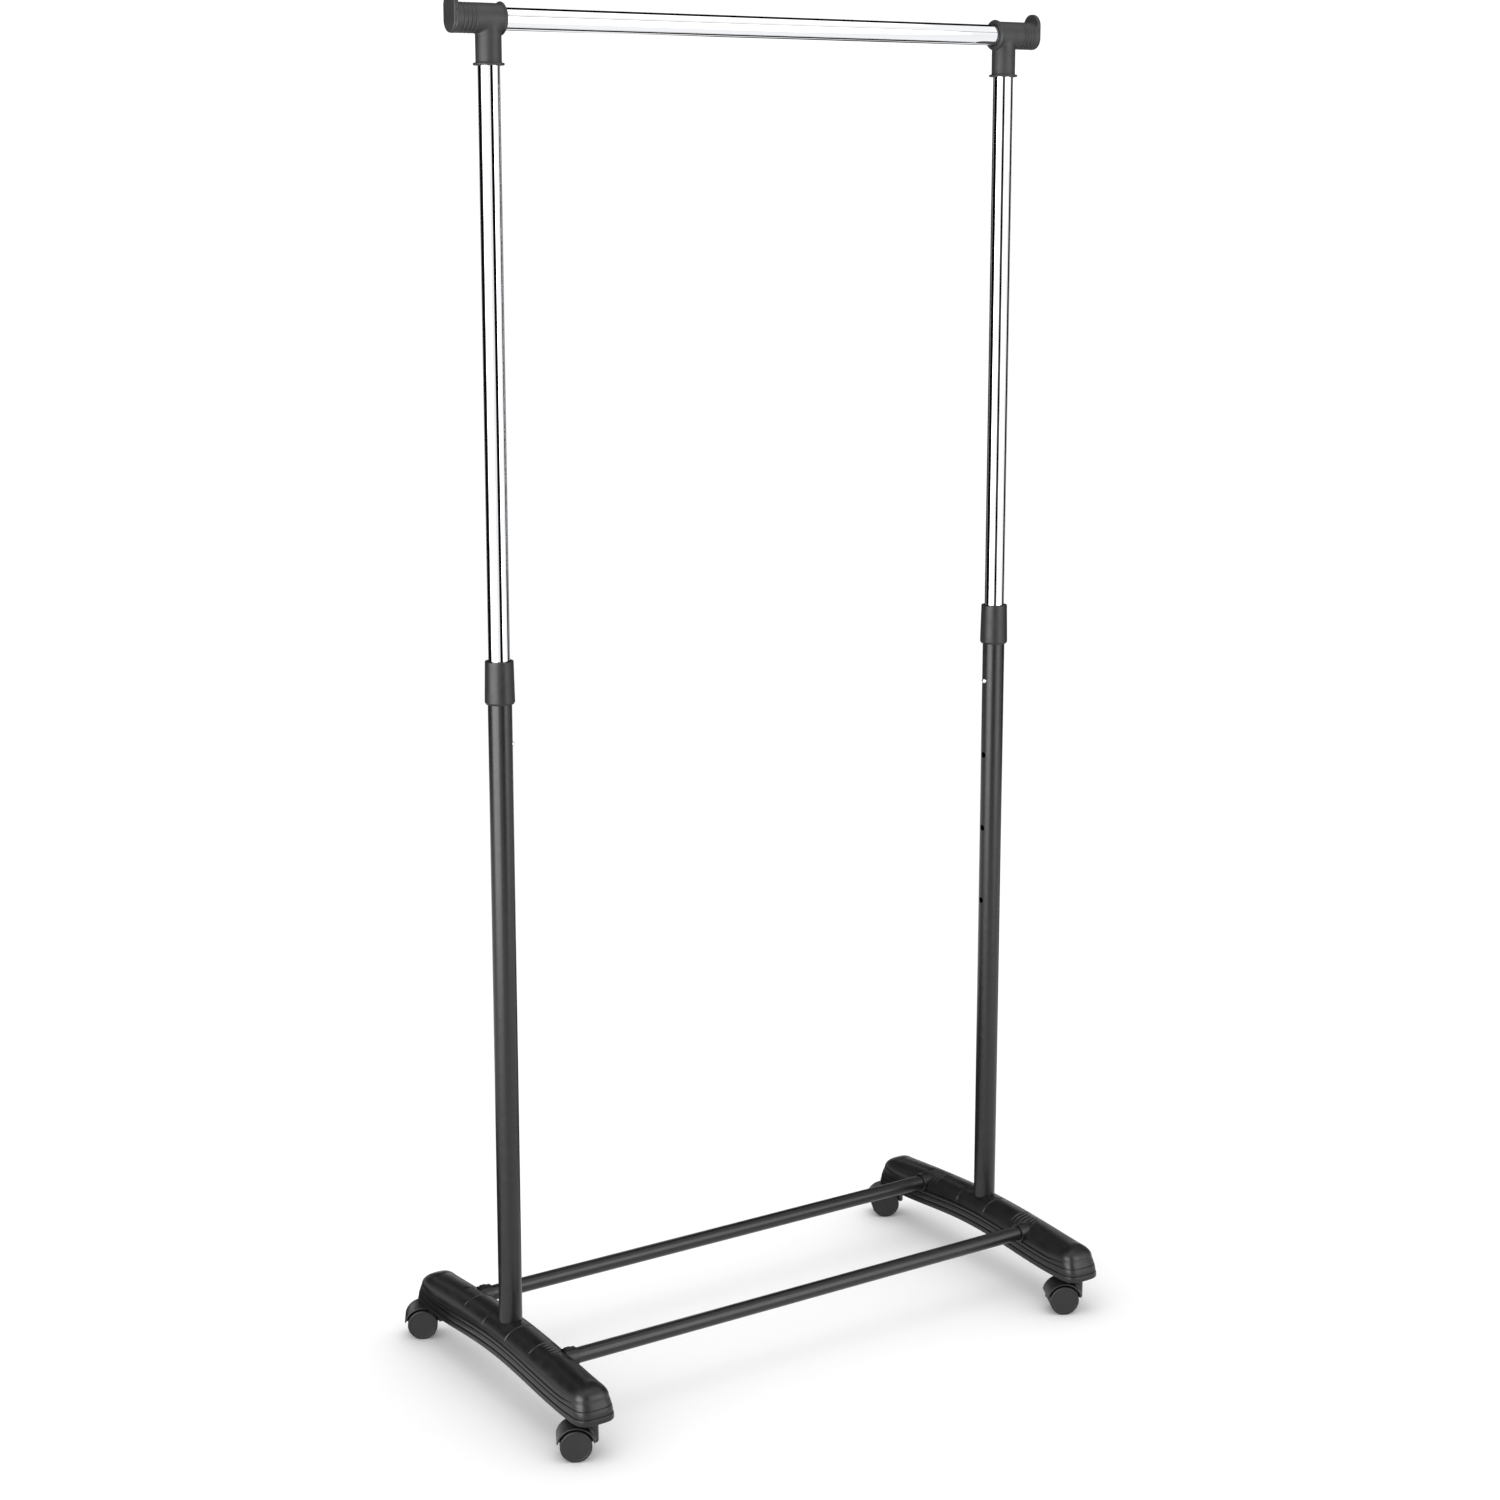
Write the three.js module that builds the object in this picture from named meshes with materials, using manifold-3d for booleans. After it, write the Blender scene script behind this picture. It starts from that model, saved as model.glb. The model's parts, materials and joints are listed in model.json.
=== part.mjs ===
// Rolling clothes rack: two wheeled feet joined by two low bars, two telescopic uprights and
// a hanging rail.
// Millimetres. X runs along the rail, Y from the front to the back, Z up from the floor.
// The origin is on the floor, under the middle of the rail.
import * as THREE from "three";
import { mergeVertices } from "three/addons/utils/BufferGeometryUtils.js";
import Module from "manifold-3d";

const wasm = await Module();
wasm.setup();

// ---------------------------------------------------------------- driving sizes

const fitGap = 0.3; // between two pieces that touch or slide on each other

// uprights and rail
const uprightSpacing = 737;
const lowerTubeDiameter = 28.6;
const lowerTubeWall = 0.9;
const lowerTubeLength = 838;
const tubeSlideGap = 0.7; // between the two tubes of an upright, all round
const upperTubeDiameter = lowerTubeDiameter - 2 * (lowerTubeWall + tubeSlideGap);
const upperTubeWall = 1.0;
const upperTubeLength = 850;
const railDiameter = 25.4;
const railWall = 1.0;
const railOverhang = 38; // past the axis of each upright

// height adjustment
const topHoleBelowTubeTop = 93;
const holePitch = 100;
const holeCount = 4;
const buttonDiameter = 7;
const buttonHoleGap = 0.5; // round the button, in the lower tube
const buttonDomeHeight = 2.6;
const buttonProud = 3.4; // of the lower tube
const buttonAboveTubeEnd = 30;
const buttonFlangeWidth = 10;
const buttonFlangeThickness = 1;
const springThickness = 0.8;
const springWidth = 6;
const springLegAboveButton = 7;
const springBelowButton = 26;

// collar on top of each lower tube
const collarHeight = 51;
const collarLip = 8;
const collarWallBottom = 3.3;
const collarWallTop = 2.3;
const collarBevel = 2.5;
const collarLipSlope = 1.5; // of the lip's mouth, outwards

// tee at each end of the rail
const teeRailWall = 4;
const teeInnerReach = 17; // from the axis of the upright towards the middle of the rack
const teeOuterReach = 49; // from the axis of the upright to the face of the end plate
const teeEndPlateThickness = 5.5;
const teeEndPlateWidth = 29;
const teeEndPlateRise = 27; // above the axis of the rail
const teeEndPlateBevel = 1.2;
const teeInnerFlangeThickness = 3;
const teeInnerFlangeRim = 2;
const teeSocketWall = 1.9;
const teeSocketDepth = 38.5; // of upright held below its top end
const teeSocketFlangeRim = 3;
const teeSocketFlangeThickness = 2.8;

// foot
const footLength = 432;
const footWidth = 52;
const footWall = 2.6;
const footHeight = 41; // from its lower edge to its ridge, at the middle
const footArchRise = 10; // of the lower edge, from the ends to the middle
const footRidgeFall = 9; // of the ridge, from the middle to the start of the nose
const footNoseLength = 30;
const footNosePower = 2.4;
const footRidgeInset = 34; // of the ridge's ends from the ends of the foot
const footWallShare = 0.54; // of the foot's height, below the dome
const footWallLean = 0.8; // of each side inwards, from the foot's edge to the dome
const footWallInset = 5; // of the wall's top ends from the ends of the foot
const socketWall = 3;
const socketFloor = 5;
const boltHeadRoom = 8;

// low bars between the feet
const barDiameter = 19;
const barWall = 1.0;
const barSpacing = 216;
const barBelowRidge = 12.6; // of the bar's axis, below the foot's ridge there
const barSocketDepth = 16;
const barSocketWall = 2.4;
const barSocketProud = 5;
const barSocketCover = 13; // of the socket's ring, over the dome

// fastening of each upright to its foot
const boltDiameter = 6;
const boltHeadDiameter = 11.5;
const boltHeadHeight = 4;
const boltShankOverlap = 1; // of the shank, into the head
const washerDiameter = 18;
const washerThickness = 1.2;
const boltReach = 18; // into the insert
const insertLength = 22;

// casters
const casterSpacing = 397; // between the stems, along the foot
const casterTrail = 19.8; // of the wheels' axis behind the stem
const casterRestAngle = 152; // degrees, from +X to the side that the wheels trail on
const wheelDiameter = 38.1;
const wheelWidth = 14;
const wheelRimBevel = 1;
const wheelFaceThickness = 3;
const wheelTyreThickness = 5;
const wheelHubDiameter = 12;
const axleDiameter = 5;
const axleGrip = 10.5; // in each wheel
const webThickness = 6;
const webHubDiameter = 13;
const wheelSideGap = 0.5;
const hoodGap = 2.4; // from the wheel to the inside of the hood
const hoodWall = 1.8;
const hoodTipDrop = 10; // degrees below the axle, at each end of the hood
const hoodNeckHeight = 4.5; // of the stem's boss, above the hood
const hoodClearance = 3.7; // from the hood up to the foot's edge
const stemDiameter = 8;
const stemBossWall = 3;
const stemGripInHood = 12;
const stemGripInFoot = 21;
const stemCollarDiameter = 13;
const stemCollarThickness = 1.5;
const stemTipBevel = 1.2;
const sleeveWall = 1.2;
const sleeveFlangeDiameter = 15;
const sleeveFlangeThickness = 1.2;
const casterBossWall = 2.5;

// sides of the round pieces
const tubeSides = 20;
const smallSides = 12;

// ---------------------------------------------------------------- sizes that follow

const uprightX = uprightSpacing / 2;
const casterY = casterSpacing / 2;
const barY = barSpacing / 2;

const lowerTubeRadius = lowerTubeDiameter / 2;
const lowerTubeBore = lowerTubeRadius - lowerTubeWall;
const upperTubeRadius = upperTubeDiameter / 2;
const upperTubeBore = upperTubeRadius - upperTubeWall;
const railRadius = railDiameter / 2;
const barRadius = barDiameter / 2;
const wheelRadius = wheelDiameter / 2;
const buttonRadius = buttonDiameter / 2;

// heights, from the floor up
const hoodInnerRadius = wheelRadius + hoodGap;
const hoodOuterRadius = hoodInnerRadius + hoodWall;
const hoodCrown = wheelRadius + hoodOuterRadius;
const hoodTop = hoodCrown + hoodNeckHeight;
const stemCollarBottom = hoodTop + fitGap;
const stemCollarTop = stemCollarBottom + stemCollarThickness;
const sleeveBottom = stemCollarTop + fitGap;
const casterBossBottom = sleeveBottom + sleeveFlangeThickness + fitGap;
const footEdgeEnd = hoodCrown + hoodClearance;
const footEdgeMiddle = footEdgeEnd + footArchRise;
const footRidgeMiddle = footEdgeMiddle + footHeight;
const lowerTubeBottom = footEdgeMiddle + boltHeadRoom + socketFloor + fitGap;
const lowerTubeTop = lowerTubeBottom + lowerTubeLength;
const topHoleZ = lowerTubeTop - topHoleBelowTubeTop;
const collarTop = lowerTubeTop + fitGap + collarLip;
const collarBottom = collarTop - collarHeight;
const upperTubeBottom = topHoleZ - buttonAboveTubeEnd;
const upperTubeTop = upperTubeBottom + upperTubeLength;
const railZ = upperTubeTop + railRadius + fitGap;

// ---------------------------------------------------------------- solids

function toSolid(geometry) {
  const bare = geometry.clone();
  bare.deleteAttribute("normal");
  bare.deleteAttribute("uv");
  const merged = mergeVertices(bare, 1e-4);
  const mesh = new wasm.Mesh({
    numProp: 3,
    vertProperties: merged.attributes.position.array,
    triVerts: new Uint32Array(merged.index.array),
  });
  return new wasm.Manifold(mesh);
}

function toGeometry(solid) {
  const mesh = solid.getMesh();
  const geometry = new THREE.BufferGeometry();
  geometry.setAttribute("position", new THREE.BufferAttribute(mesh.vertProperties, 3));
  geometry.setIndex(new THREE.BufferAttribute(mesh.triVerts, 1));
  geometry.computeVertexNormals();
  return geometry;
}

function union(solids) {
  return solids.reduce((whole, next) => whole.add(next));
}

// A solid turned about Z. The profile is a list of [radius, z], going up the outside.
function lathe(profile, sides = tubeSides) {
  const points = profile.map(([radius, z]) => new THREE.Vector2(radius, z));
  const geometry = new THREE.LatheGeometry(points, sides);
  geometry.rotateX(Math.PI / 2);
  return geometry;
}

function discProfile(radius, bottom, top) {
  return [[0, bottom], [radius, bottom], [radius, top], [0, top]];
}

function ringProfile(bore, radius, bottom, top) {
  return [[bore, bottom], [radius, bottom], [radius, top], [bore, top], [bore, bottom]];
}

function disc(radius, bottom, top, sides = tubeSides) {
  return lathe(discProfile(radius, bottom, top), sides);
}

function ring(bore, radius, bottom, top, sides = tubeSides) {
  return lathe(ringProfile(bore, radius, bottom, top), sides);
}

const alongX = (geometry) => geometry.rotateY(Math.PI / 2);
const alongY = (geometry) => geometry.rotateX(-Math.PI / 2);

// Solids of a disc whose axis lies along X, from x = start to x = end.
function discAlongX(radius, start, end, y, z, sides = smallSides) {
  return toSolid(alongX(disc(radius, start, end, sides)).translate(0, y, z));
}

// ---------------------------------------------------------------- materials

const looks = {
  chrome: { color: 0xd8dadc, roughness: 0.12, metalness: 1.0 },
  blackTube: { color: 0x1b1b1c, roughness: 0.38, metalness: 0.25 },
  blackPlastic: { color: 0x242425, roughness: 0.55, metalness: 0.0 },
  wheelPlastic: { color: 0x2b2b2c, roughness: 0.7, metalness: 0.0 },
  zincSteel: { color: 0xa9abad, roughness: 0.4, metalness: 1.0 },
  springSteel: { color: 0x6d6f72, roughness: 0.35, metalness: 1.0 },
  nylon: { color: 0xe4e2da, roughness: 0.6, metalness: 0.0 },
};

const rack = new THREE.Group();

function addPiece(name, geometry, look, parent = rack) {
  const mesh = new THREE.Mesh(geometry, new THREE.MeshStandardMaterial(looks[look]));
  mesh.name = name;
  parent.add(mesh);
  return mesh;
}

// Adds a piece and the same piece mirrored across X = 0, as NAME_left and NAME_right.
function addBothSides(name, rightSolid, look) {
  addPiece(`${name}_left`, toGeometry(rightSolid.mirror([1, 0, 0])), look);
  addPiece(`${name}_right`, toGeometry(rightSolid), look);
}

// ---------------------------------------------------------------- foot

// Height of the foot's lower edge and of its ridge, at a place along it.
function footEdgeZ(y) {
  const share = Math.min(1, Math.abs(y) / (footLength / 2 - footNoseLength));
  return footEdgeMiddle - footArchRise * (1 - Math.cos(share * Math.PI)) / 2;
}

function footRidgeZ(y) {
  const share = Math.min(1, Math.abs(y) / (footLength / 2 - footRidgeInset));
  return footRidgeMiddle - footRidgeFall * share * share;
}

// Share of the foot's full width, at a place along it. The ends are rounded as a superellipse.
function footWidthShare(y, halfLength) {
  const intoNose = Math.max(0, Math.abs(y) - (halfLength - footNoseLength)) / footNoseLength;
  const left = 1 - Math.pow(Math.min(1, intoNose), footNosePower);
  return Math.pow(Math.max(0, left), 1 / footNosePower);
}

// The foot's outside in levels from its edge to its ridge: a leaning wall, then an elliptical dome.
// Each level holds its share of the foot's height, its lean inwards and its inset from the ends.
const footLevels = [
  { height: 0, lean: 0, inset: 0 },
  { height: footWallShare / 2, lean: footWallLean / 2, inset: footWallInset / 2 },
];
const domeSteps = 4;
for (let i = 0; i <= domeSteps; i++) {
  const turn = (i / domeSteps) * (Math.PI / 2);
  footLevels.push({
    height: footWallShare + (1 - footWallShare) * Math.sin(turn),
    lean: footWallLean + (footWidth / 2 - footWallLean) * (1 - Math.cos(turn)),
    inset: footWallInset + (footRidgeInset - footWallInset) * (1 - Math.cos(turn)),
  });
}

// A closed solid between the lower edge and the domed top, smaller than the foot by the inset,
// and reaching below the foot's edge by the drop.
function footBody(inset, drop) {
  const halfLength = footLength / 2 - inset;
  const halfWidth = footWidth / 2 - inset;
  const noseSteps = 5;
  const halfSteps = 5;
  const noseEnd = halfLength - footNoseLength;
  const frontHalf = [];
  for (let i = 0; i < halfSteps; i++) {
    frontHalf.push((noseEnd * i) / halfSteps);
  }
  for (let i = 0; i <= noseSteps; i++) {
    frontHalf.push(noseEnd + footNoseLength * Math.sin((i / noseSteps) * (Math.PI / 2)));
  }
  const stations = [...frontHalf.slice(1).reverse().map((y) => -y), ...frontHalf];
  const positions = [];
  const index = [];
  const levelCount = footLevels.length;
  const stationCount = stations.length;
  for (const side of [1, -1]) {
    for (const y of stations) {
      const low = footEdgeZ(y);
      const high = footRidgeZ(y) - inset;
      for (const { height, lean, inset: levelInset } of footLevels) {
        const width = 1 - (2 * lean) / footWidth;
        const x = side * halfWidth * width * footWidthShare(y, halfLength);
        const along = y * (1 - (2 * levelInset) / footLength);
        const bottom = height === 0 ? low - drop : low;
        positions.push(x, along, bottom + (high - bottom) * height);
      }
    }
  }
  const at = (side, station, level) => (side * stationCount + station) * levelCount + level;
  const quad = (a, b, c, d) => index.push(a, b, c, a, c, d);
  for (let station = 0; station < stationCount - 1; station++) {
    for (let level = 0; level < levelCount - 1; level++) {
      quad(
        at(0, station, level),
        at(0, station + 1, level),
        at(0, station + 1, level + 1),
        at(0, station, level + 1),
      );
      quad(
        at(1, station, level),
        at(1, station, level + 1),
        at(1, station + 1, level + 1),
        at(1, station + 1, level),
      );
    }
    quad(at(0, station, 0), at(1, station, 0), at(1, station + 1, 0), at(0, station + 1, 0));
  }
  const geometry = new THREE.BufferGeometry();
  geometry.setAttribute("position", new THREE.Float32BufferAttribute(positions, 3));
  geometry.setIndex(index);
  return geometry;
}

function barZ() {
  return footRidgeZ(barY) - barBelowRidge;
}

function sleeveRadius() {
  return stemDiameter / 2 + fitGap + sleeveWall;
}

function footSolid() {
  const outside = toSolid(footBody(0, 0));
  const inside = toSolid(footBody(footWall, footArchRise + footHeight));
  const tubeHoleRadius = lowerTubeRadius + fitGap;
  const socketFloorZ = lowerTubeBottom - fitGap;
  const tubeBossRadius = tubeHoleRadius + socketWall;
  const casterBossRadius = sleeveRadius() + fitGap + casterBossWall;
  const inner = [toSolid(disc(tubeBossRadius, socketFloorZ - socketFloor, footRidgeMiddle))];
  for (const y of [-casterY, casterY]) {
    const casterBoss = disc(casterBossRadius, casterBossBottom, footRidgeZ(y), smallSides);
    inner.push(toSolid(casterBoss.translate(0, y, 0)));
  }
  const barHoleRadius = barRadius + fitGap;
  const innerFace = -footWidth / 2;
  const proud = [];
  for (const y of [-barY, barY]) {
    const radius = barHoleRadius + barSocketWall;
    const blindEnd = innerFace + barSocketDepth + fitGap + barSocketWall;
    inner.push(discAlongX(radius, innerFace, blindEnd, y, barZ()));
    proud.push(discAlongX(radius, innerFace - barSocketProud, innerFace + barSocketCover, y, barZ()));
  }
  let foot = outside.subtract(inside).add(outside.intersect(union(inner))).add(union(proud));
  foot = foot.subtract(toSolid(disc(tubeHoleRadius, socketFloorZ, footRidgeMiddle + footHeight)));
  foot = foot.subtract(toSolid(disc(boltDiameter / 2 + fitGap, 0, footRidgeMiddle, smallSides)));
  for (const y of [-casterY, casterY]) {
    const depth = sleeveBottom + stemGripInFoot + 2 * fitGap + sleeveWall;
    const casterHole = disc(sleeveRadius() + fitGap, 0, depth, smallSides);
    foot = foot.subtract(toSolid(casterHole.translate(0, y, 0)));
  }
  for (const y of [-barY, barY]) {
    const end = innerFace + barSocketDepth + fitGap;
    foot = foot.subtract(discAlongX(barHoleRadius, innerFace - 2 * barSocketProud, end, y, barZ()));
  }
  return foot.translate([uprightX, 0, 0]);
}

addBothSides("foot", footSolid(), "blackPlastic");

// ---------------------------------------------------------------- low bars

function addBar(name, y) {
  const halfLength = uprightX - footWidth / 2 + barSocketDepth;
  const tube = alongX(ring(barRadius - barWall, barRadius, -halfLength, halfLength, smallSides));
  addPiece(name, tube, "blackTube").position.set(0, y, barZ());
}

addBar("lower_bar_front", -barY);
addBar("lower_bar_back", barY);

// ---------------------------------------------------------------- lower tubes and their fastening

function lowerTubeSolid() {
  let tube = toSolid(ring(lowerTubeBore, lowerTubeRadius, lowerTubeBottom, lowerTubeTop));
  for (let i = 0; i < holeCount; i++) {
    const z = topHoleZ - i * holePitch;
    tube = tube.subtract(discAlongX(buttonRadius + buttonHoleGap, -lowerTubeDiameter, 0, 0, z));
  }
  return tube.translate([uprightX, 0, 0]);
}

function collarSolid() {
  const bore = lowerTubeRadius + fitGap;
  const lipBore = upperTubeRadius + fitGap;
  const lipBottom = lowerTubeTop + fitGap;
  const profile = [
    [bore, collarBottom],
    [bore + collarWallBottom - collarBevel / 2, collarBottom],
    [bore + collarWallBottom, collarBottom + collarBevel],
    [bore + collarWallTop, collarTop],
    [lipBore + collarLipSlope, collarTop],
    [lipBore, collarTop - collarLip / 2],
    [lipBore, lipBottom],
    [bore, lipBottom],
    [bore, collarBottom],
  ];
  return toSolid(lathe(profile)).translate([uprightX, 0, 0]);
}

function insertSolid() {
  const radius = lowerTubeBore - fitGap;
  const bore = boltDiameter / 2 + fitGap;
  const profile = ringProfile(bore, radius, lowerTubeBottom, lowerTubeBottom + insertLength);
  return toSolid(lathe(profile, smallSides)).translate([uprightX, 0, 0]);
}

const washerTop = lowerTubeBottom - fitGap - socketFloor - fitGap;
const washerBottom = washerTop - washerThickness;
const boltHeadTop = washerBottom - fitGap;

function washerSolid() {
  const profile = ringProfile(boltDiameter / 2 + fitGap, washerDiameter / 2, washerBottom, washerTop);
  return toSolid(lathe(profile, smallSides)).translate([uprightX, 0, 0]);
}

function boltSolid() {
  const hexSides = 6;
  const head = toSolid(disc(boltHeadDiameter / 2, boltHeadTop - boltHeadHeight, boltHeadTop, hexSides));
  const shankBottom = boltHeadTop - boltShankOverlap;
  const shank = toSolid(disc(boltDiameter / 2, shankBottom, lowerTubeBottom + boltReach, smallSides));
  return head.add(shank).translate([uprightX, 0, 0]);
}

addBothSides("lower_tube", lowerTubeSolid(), "blackTube");
addBothSides("collar", collarSolid(), "blackPlastic");
addBothSides("tube_insert", insertSolid(), "nylon");
addBothSides("foot_washer", washerSolid(), "zincSteel");
addBothSides("foot_bolt", boltSolid(), "zincSteel");

// ---------------------------------------------------------------- upper frame

function upperTubeSolid() {
  const tube = toSolid(ring(upperTubeBore, upperTubeRadius, upperTubeBottom, upperTubeTop));
  const hole = discAlongX(buttonRadius + fitGap, -upperTubeDiameter, 0, 0, topHoleZ);
  return tube.subtract(hole).translate([uprightX, 0, 0]);
}

function addRail() {
  const halfLength = uprightX + railOverhang;
  const tube = alongX(ring(railRadius - railWall, railRadius, -halfLength, halfLength));
  addPiece("hanging_rail", tube, "chrome").position.set(0, 0, railZ);
}

// The upright plate that closes the outer end of the tee: straight sides and round ends.
function teeEndPlate(sleeveRadius) {
  const bevel = teeEndPlateBevel;
  const halfWidth = teeEndPlateWidth / 2 - bevel;
  const top = teeEndPlateRise - bevel;
  const bottom = -sleeveRadius + bevel;
  const shape = new THREE.Shape();
  shape.absarc(0, top - halfWidth, halfWidth, 0, Math.PI, false);
  shape.absarc(0, bottom + halfWidth, halfWidth, Math.PI, 2 * Math.PI, false);
  const geometry = new THREE.ExtrudeGeometry(shape, {
    depth: teeEndPlateThickness - 2 * bevel,
    bevelSize: bevel,
    bevelThickness: bevel,
    bevelSegments: 1,
    curveSegments: 8,
  });
  geometry.translate(0, 0, bevel);
  // the shape's X and Y become the plate's Y and Z, and its depth lies along X
  geometry.rotateX(Math.PI / 2);
  geometry.rotateZ(Math.PI / 2);
  return geometry.translate(teeOuterReach - teeEndPlateThickness, 0, 0);
}

function teeSolid() {
  const railBore = railRadius + fitGap;
  const sleeveRadius = railBore + teeRailWall;
  const socketBore = upperTubeRadius + fitGap;
  const socketRadius = socketBore + teeSocketWall;
  const socketBottom = upperTubeTop - teeSocketDepth - railZ;
  const flangeTop = socketBottom + teeSocketFlangeThickness;
  const plateInside = teeOuterReach - teeEndPlateThickness / 2;
  const innerFlangeRadius = sleeveRadius + teeInnerFlangeRim;
  const innerFlangeEnd = -teeInnerReach + teeInnerFlangeThickness;
  const joined = union([
    discAlongX(sleeveRadius, -teeInnerReach, plateInside, 0, 0, tubeSides),
    discAlongX(innerFlangeRadius, -teeInnerReach, innerFlangeEnd, 0, 0, tubeSides),
    toSolid(teeEndPlate(sleeveRadius)),
    toSolid(disc(socketRadius, socketBottom, 0)),
    toSolid(disc(socketRadius + teeSocketFlangeRim, socketBottom, flangeTop)),
  ]);
  return joined
    .subtract(discAlongX(railBore, -2 * teeInnerReach, railOverhang + fitGap, 0, 0, tubeSides))
    .subtract(toSolid(disc(socketBore, 2 * socketBottom, 0)))
    .translate([uprightX, 0, railZ]);
}

addBothSides("upper_tube", upperTubeSolid(), "chrome");
addBothSides("tee", teeSolid(), "blackPlastic");
addRail();

// ---------------------------------------------------------------- snap buttons and their springs

const buttonTip = lowerTubeRadius + buttonProud;
const flangeCorner = Math.sqrt((upperTubeBore - fitGap) ** 2 - (buttonFlangeWidth / 2) ** 2);
const buttonFlangeInside = flangeCorner - buttonFlangeThickness;

// The button's axis lies along X, with its dome towards the middle of the rack.
function buttonSolid() {
  const domeStart = buttonTip - buttonDomeHeight;
  const profile = [
    [0, buttonFlangeInside],
    [buttonFlangeWidth / 2, buttonFlangeInside],
    [buttonFlangeWidth / 2, flangeCorner],
    [buttonRadius, flangeCorner],
  ];
  const tipSteps = 4;
  for (let i = 0; i < tipSteps; i++) {
    const turn = (i / tipSteps) * (Math.PI / 2);
    profile.push([buttonRadius * Math.cos(turn), domeStart + buttonDomeHeight * Math.sin(turn)]);
  }
  profile.push([0, buttonTip]);
  const geometry = lathe(profile, smallSides).rotateY(-Math.PI / 2);
  return toSolid(geometry).translate([uprightX, 0, topHoleZ]);
}

// A bent strip: one leg behind the button, one leg on the far side of the tube, joined by a bend.
function springSolid() {
  const legOutside = buttonFlangeInside - fitGap;
  const legInside = legOutside - springThickness;
  const bendZ = -springBelowButton + legOutside;
  const outline = new THREE.Shape();
  outline.moveTo(legOutside, springLegAboveButton);
  outline.lineTo(legInside, springLegAboveButton);
  outline.lineTo(legInside, bendZ);
  outline.absarc(0, bendZ, legInside, 0, -Math.PI, true);
  outline.lineTo(-legInside, springLegAboveButton);
  outline.lineTo(-legOutside, springLegAboveButton);
  outline.lineTo(-legOutside, bendZ);
  outline.absarc(0, bendZ, legOutside, Math.PI, 2 * Math.PI, false);
  const geometry = new THREE.ExtrudeGeometry(outline, {
    depth: springWidth,
    bevelEnabled: false,
    curveSegments: 8,
  });
  geometry.translate(0, 0, -springWidth / 2);
  geometry.rotateX(Math.PI / 2);
  return toSolid(geometry).translate([uprightX, 0, topHoleZ]);
}

addBothSides("snap_button", buttonSolid(), "chrome");
addBothSides("snap_spring", springSolid(), "springSteel");

// ---------------------------------------------------------------- casters

// Each caster is made with its stem on the Z axis and its wheels trailing towards -X.
const webHalf = webThickness / 2;
const wheelInside = webHalf + wheelSideGap;
const wheelOutside = wheelInside + wheelWidth;

function hoodSolid() {
  const width = 2 * wheelOutside - 2 * wheelRimBevel;
  const drop = (hoodTipDrop * Math.PI) / 180;
  const band = new THREE.Shape();
  band.absarc(0, 0, hoodOuterRadius, -drop, Math.PI + drop, false);
  band.absarc(0, 0, hoodInnerRadius, Math.PI + drop, -drop, true);
  const web = new THREE.Shape();
  web.absarc(0, 0, hoodInnerRadius + hoodWall / 2, 0, Math.PI, false);
  web.absarc(0, 0, webHubDiameter / 2, Math.PI, 2 * Math.PI, false);
  const solids = [
    [band, width],
    [web, webThickness],
  ].map(([shape, depth]) => {
    const geometry = new THREE.ExtrudeGeometry(shape, {
      depth,
      bevelEnabled: false,
      curveSegments: 10,
    });
    geometry.translate(0, 0, -depth / 2);
    geometry.rotateX(Math.PI / 2);
    return toSolid(geometry.translate(-casterTrail, 0, wheelRadius));
  });
  const bossRadius = stemDiameter / 2 + fitGap + stemBossWall;
  const wheelRoom = alongY(disc(hoodInnerRadius, -wheelOutside, wheelOutside));
  wheelRoom.translate(-casterTrail, 0, wheelRadius);
  const boss = toSolid(disc(bossRadius, wheelRadius, hoodTop, smallSides)).subtract(toSolid(wheelRoom));
  const stemHoleBottom = hoodTop - stemGripInHood - fitGap;
  const stemHole = disc(stemDiameter / 2 + fitGap, stemHoleBottom, 2 * hoodTop, smallSides);
  const axleHole = alongY(disc(axleDiameter / 2 + fitGap, -webThickness, webThickness, smallSides));
  axleHole.translate(-casterTrail, 0, wheelRadius);
  return union([...solids, boss]).subtract(toSolid(stemHole)).subtract(toSolid(axleHole));
}

function stemGeometry() {
  const radius = stemDiameter / 2;
  const top = sleeveBottom + stemGripInFoot;
  return lathe(
    [
      [0, hoodTop - stemGripInHood],
      [radius, hoodTop - stemGripInHood],
      [radius, stemCollarBottom],
      [stemCollarDiameter / 2, stemCollarBottom],
      [stemCollarDiameter / 2, stemCollarTop],
      [radius, stemCollarTop],
      [radius, top - stemTipBevel],
      [radius - stemTipBevel, top],
      [0, top],
    ],
    smallSides,
  );
}

function sleeveGeometry() {
  const bore = stemDiameter / 2 + fitGap;
  const flangeTop = sleeveBottom + sleeveFlangeThickness;
  const top = sleeveBottom + stemGripInFoot + fitGap + sleeveWall;
  return lathe(
    [
      [bore, sleeveBottom],
      [sleeveFlangeDiameter / 2, sleeveBottom],
      [sleeveFlangeDiameter / 2, flangeTop],
      [bore + sleeveWall, flangeTop],
      [bore + sleeveWall, top],
      [bore, top],
      [bore, sleeveBottom],
    ],
    smallSides,
  );
}

function wheelGeometry() {
  const bore = axleDiameter / 2 + fitGap;
  const blindEnd = wheelInside + axleGrip + fitGap;
  const faceInside = wheelOutside - wheelFaceThickness;
  const tyreInside = wheelRadius - wheelTyreThickness;
  return lathe(
    [
      [0, blindEnd],
      [bore, blindEnd],
      [bore, wheelInside],
      [wheelHubDiameter / 2, wheelInside],
      [wheelHubDiameter / 2, faceInside],
      [tyreInside, faceInside],
      [tyreInside, wheelInside],
      [wheelRadius, wheelInside],
      [wheelRadius, wheelOutside - wheelRimBevel],
      [wheelRadius - wheelRimBevel, wheelOutside],
      [0, wheelOutside],
    ],
    tubeSides,
  );
}

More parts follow.
